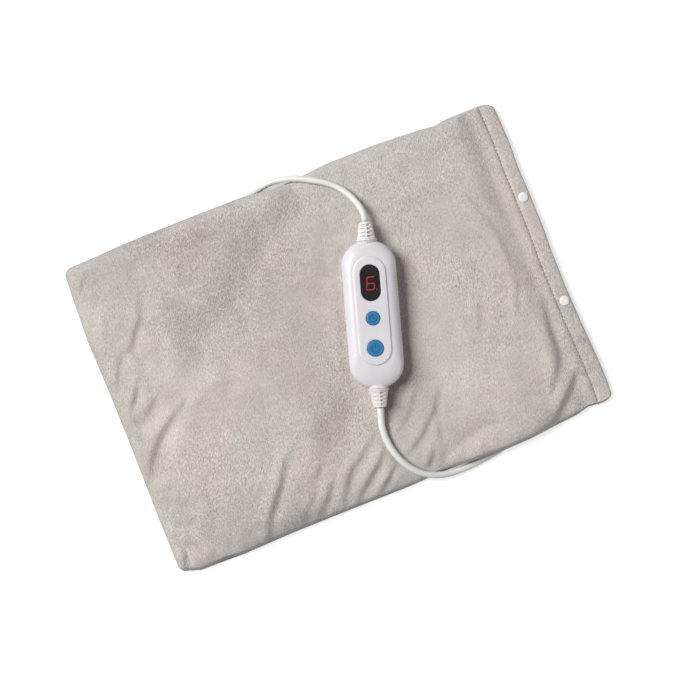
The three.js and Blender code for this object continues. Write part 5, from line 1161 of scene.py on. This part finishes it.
for piece, node in ((plug_body, "plug_body"), (plug_relief, "plug_strain_relief")):
    dress(settle(piece, plug_frame), rubber, "lead_jacket", node)


def metal(name, colour, rough):
    """Drawn or turned metal: fine scratches in its roughness and a faint tarnish."""
    material, place, shader = new_material(name, Metallic=1.0)
    tarnish = noise(place, 160, 3)
    feed(shader, Base_Color=two_tone(tarnish, [c * 0.86 for c in colour], colour),
         Roughness=rough + (tarnish - 0.5) * 0.2, Normal=raised(noise(place, 1400, 3), 0.15, 0.00003))
    return material


brass = metal("plated_brass", (0.80, 0.72, 0.48), 0.24)
black_plastic = plastic("black_moulding", (0.035, 0.035, 0.037), 0.42, 0.1)
for k, x in ((1, -PIN_OFFSET), (2, PIN_OFFSET)):
    pin = turned(f"plug_pin_{k}_rod", [(0, -7), (1.3, -7), (1.3, 10.3), (1.85, 10.3), (2, 10.45), (2, 18),
                                       (1.9, 18.35), (1.2, 18.9), (0, 19)], 28)
    sleeve = turned(f"plug_pin_{k}_sleeve", [(1.6, 0.3), (1.95, 0.3), (2, 0.4), (2, 9.9), (1.95, 10), (1.6, 10),
                                             (1.6, 0.3)], 28)
    for piece in (pin, sleeve):
        settle(piece, plug_frame @ at_pin(x))
        plug_pieces.append(piece)
    dress(pin, brass, "pin_brass", f"plug_pin_{k}")
    dress(sleeve, black_plastic, "black_plastic", f"plug_pin_sleeve_{k}")


# What is inside or underneath keeps its drawn shape: the felt sheets and the heating wire, the gland,
# the coil's tie, the screws, and the board with its parts. Each gets its own finish.
felt, place, shader = new_material("needled_felt", Sheen_Weight=0.3, Specular_IOR_Level=0.1)
fibres = noise(place, 900, 4, Distortion=1.5)
feed(shader, Base_Color=two_tone(fibres, (0.66, 0.63, 0.57), (0.80, 0.77, 0.71)),
     Roughness=0.85 + fibres * 0.1, Normal=raised(fibres, 0.5, 0.0004))
jacket = plastic("wire_jacket", (0.62, 0.52, 0.34), 0.5, 0.03)
steel = metal("plated_steel", (0.62, 0.62, 0.64), 0.3)
red_epoxy = plastic("dipped_epoxy", (0.36, 0.09, 0.05), 0.25, 0.05)
board, place, shader = new_material("solder_masked_board", Coat_Weight=0.2, Coat_Roughness=0.2)
tracks = place.node("ShaderNodeTexBrick", None, {"Vector": place, "Scale": 160, "Mortar Size": 0.03}, "Fac")
board_tint = place.node("ShaderNodeMix", {"data_type": "RGBA"}, {
    0: tracks, 6: (0.03, 0.15, 0.06, 1), 7: (0.07, 0.24, 0.10, 1)}, 2)
feed(shader, Base_Color=board_tint, Roughness=0.35 + tracks * 0.1)
fuse_glass, place, shader = new_material("fuse_glass", Transmission_Weight=0.9, Roughness=0.05, IOR=1.47)
feed(shader, Base_Color=two_tone(noise(place, 300), (0.85, 0.88, 0.88), (0.95, 0.97, 0.97), (0, 1)))
finishes = {
    felt: ["inner_pad_lower_sheet", "inner_pad_upper_sheet"],
    jacket: ["heating_wire", "pad_lead_cores", "mains_lead_cores"],
    rubber: ["pad_lead_gland"],
    black_plastic: ["overheat_cutout", "coil_tie", "display_module", "smoothing_capacitor", "triac", "control_chip",
                    "timer_switch_body", "power_switch_body"],
    steel: ["housing_screw_1", "housing_screw_2", "housing_screw_3", "housing_screw_4",
            "timer_switch_plunger", "power_switch_plunger"],
    red_epoxy: ["film_capacitor"],
    board: ["circuit_board"],
    fuse_glass: ["fuse"],
}
for look, names in finishes.items():
    for name in names:
        nodes[name].material_slots[0].material = look


# The plug's pieces and the coil's tie are put in one list, which nothing uses.
# The pad lead ends at its gland, and the mains lead, with the tie round its coil, at its plug.
plug_pieces + [nodes["coil_tie"]]
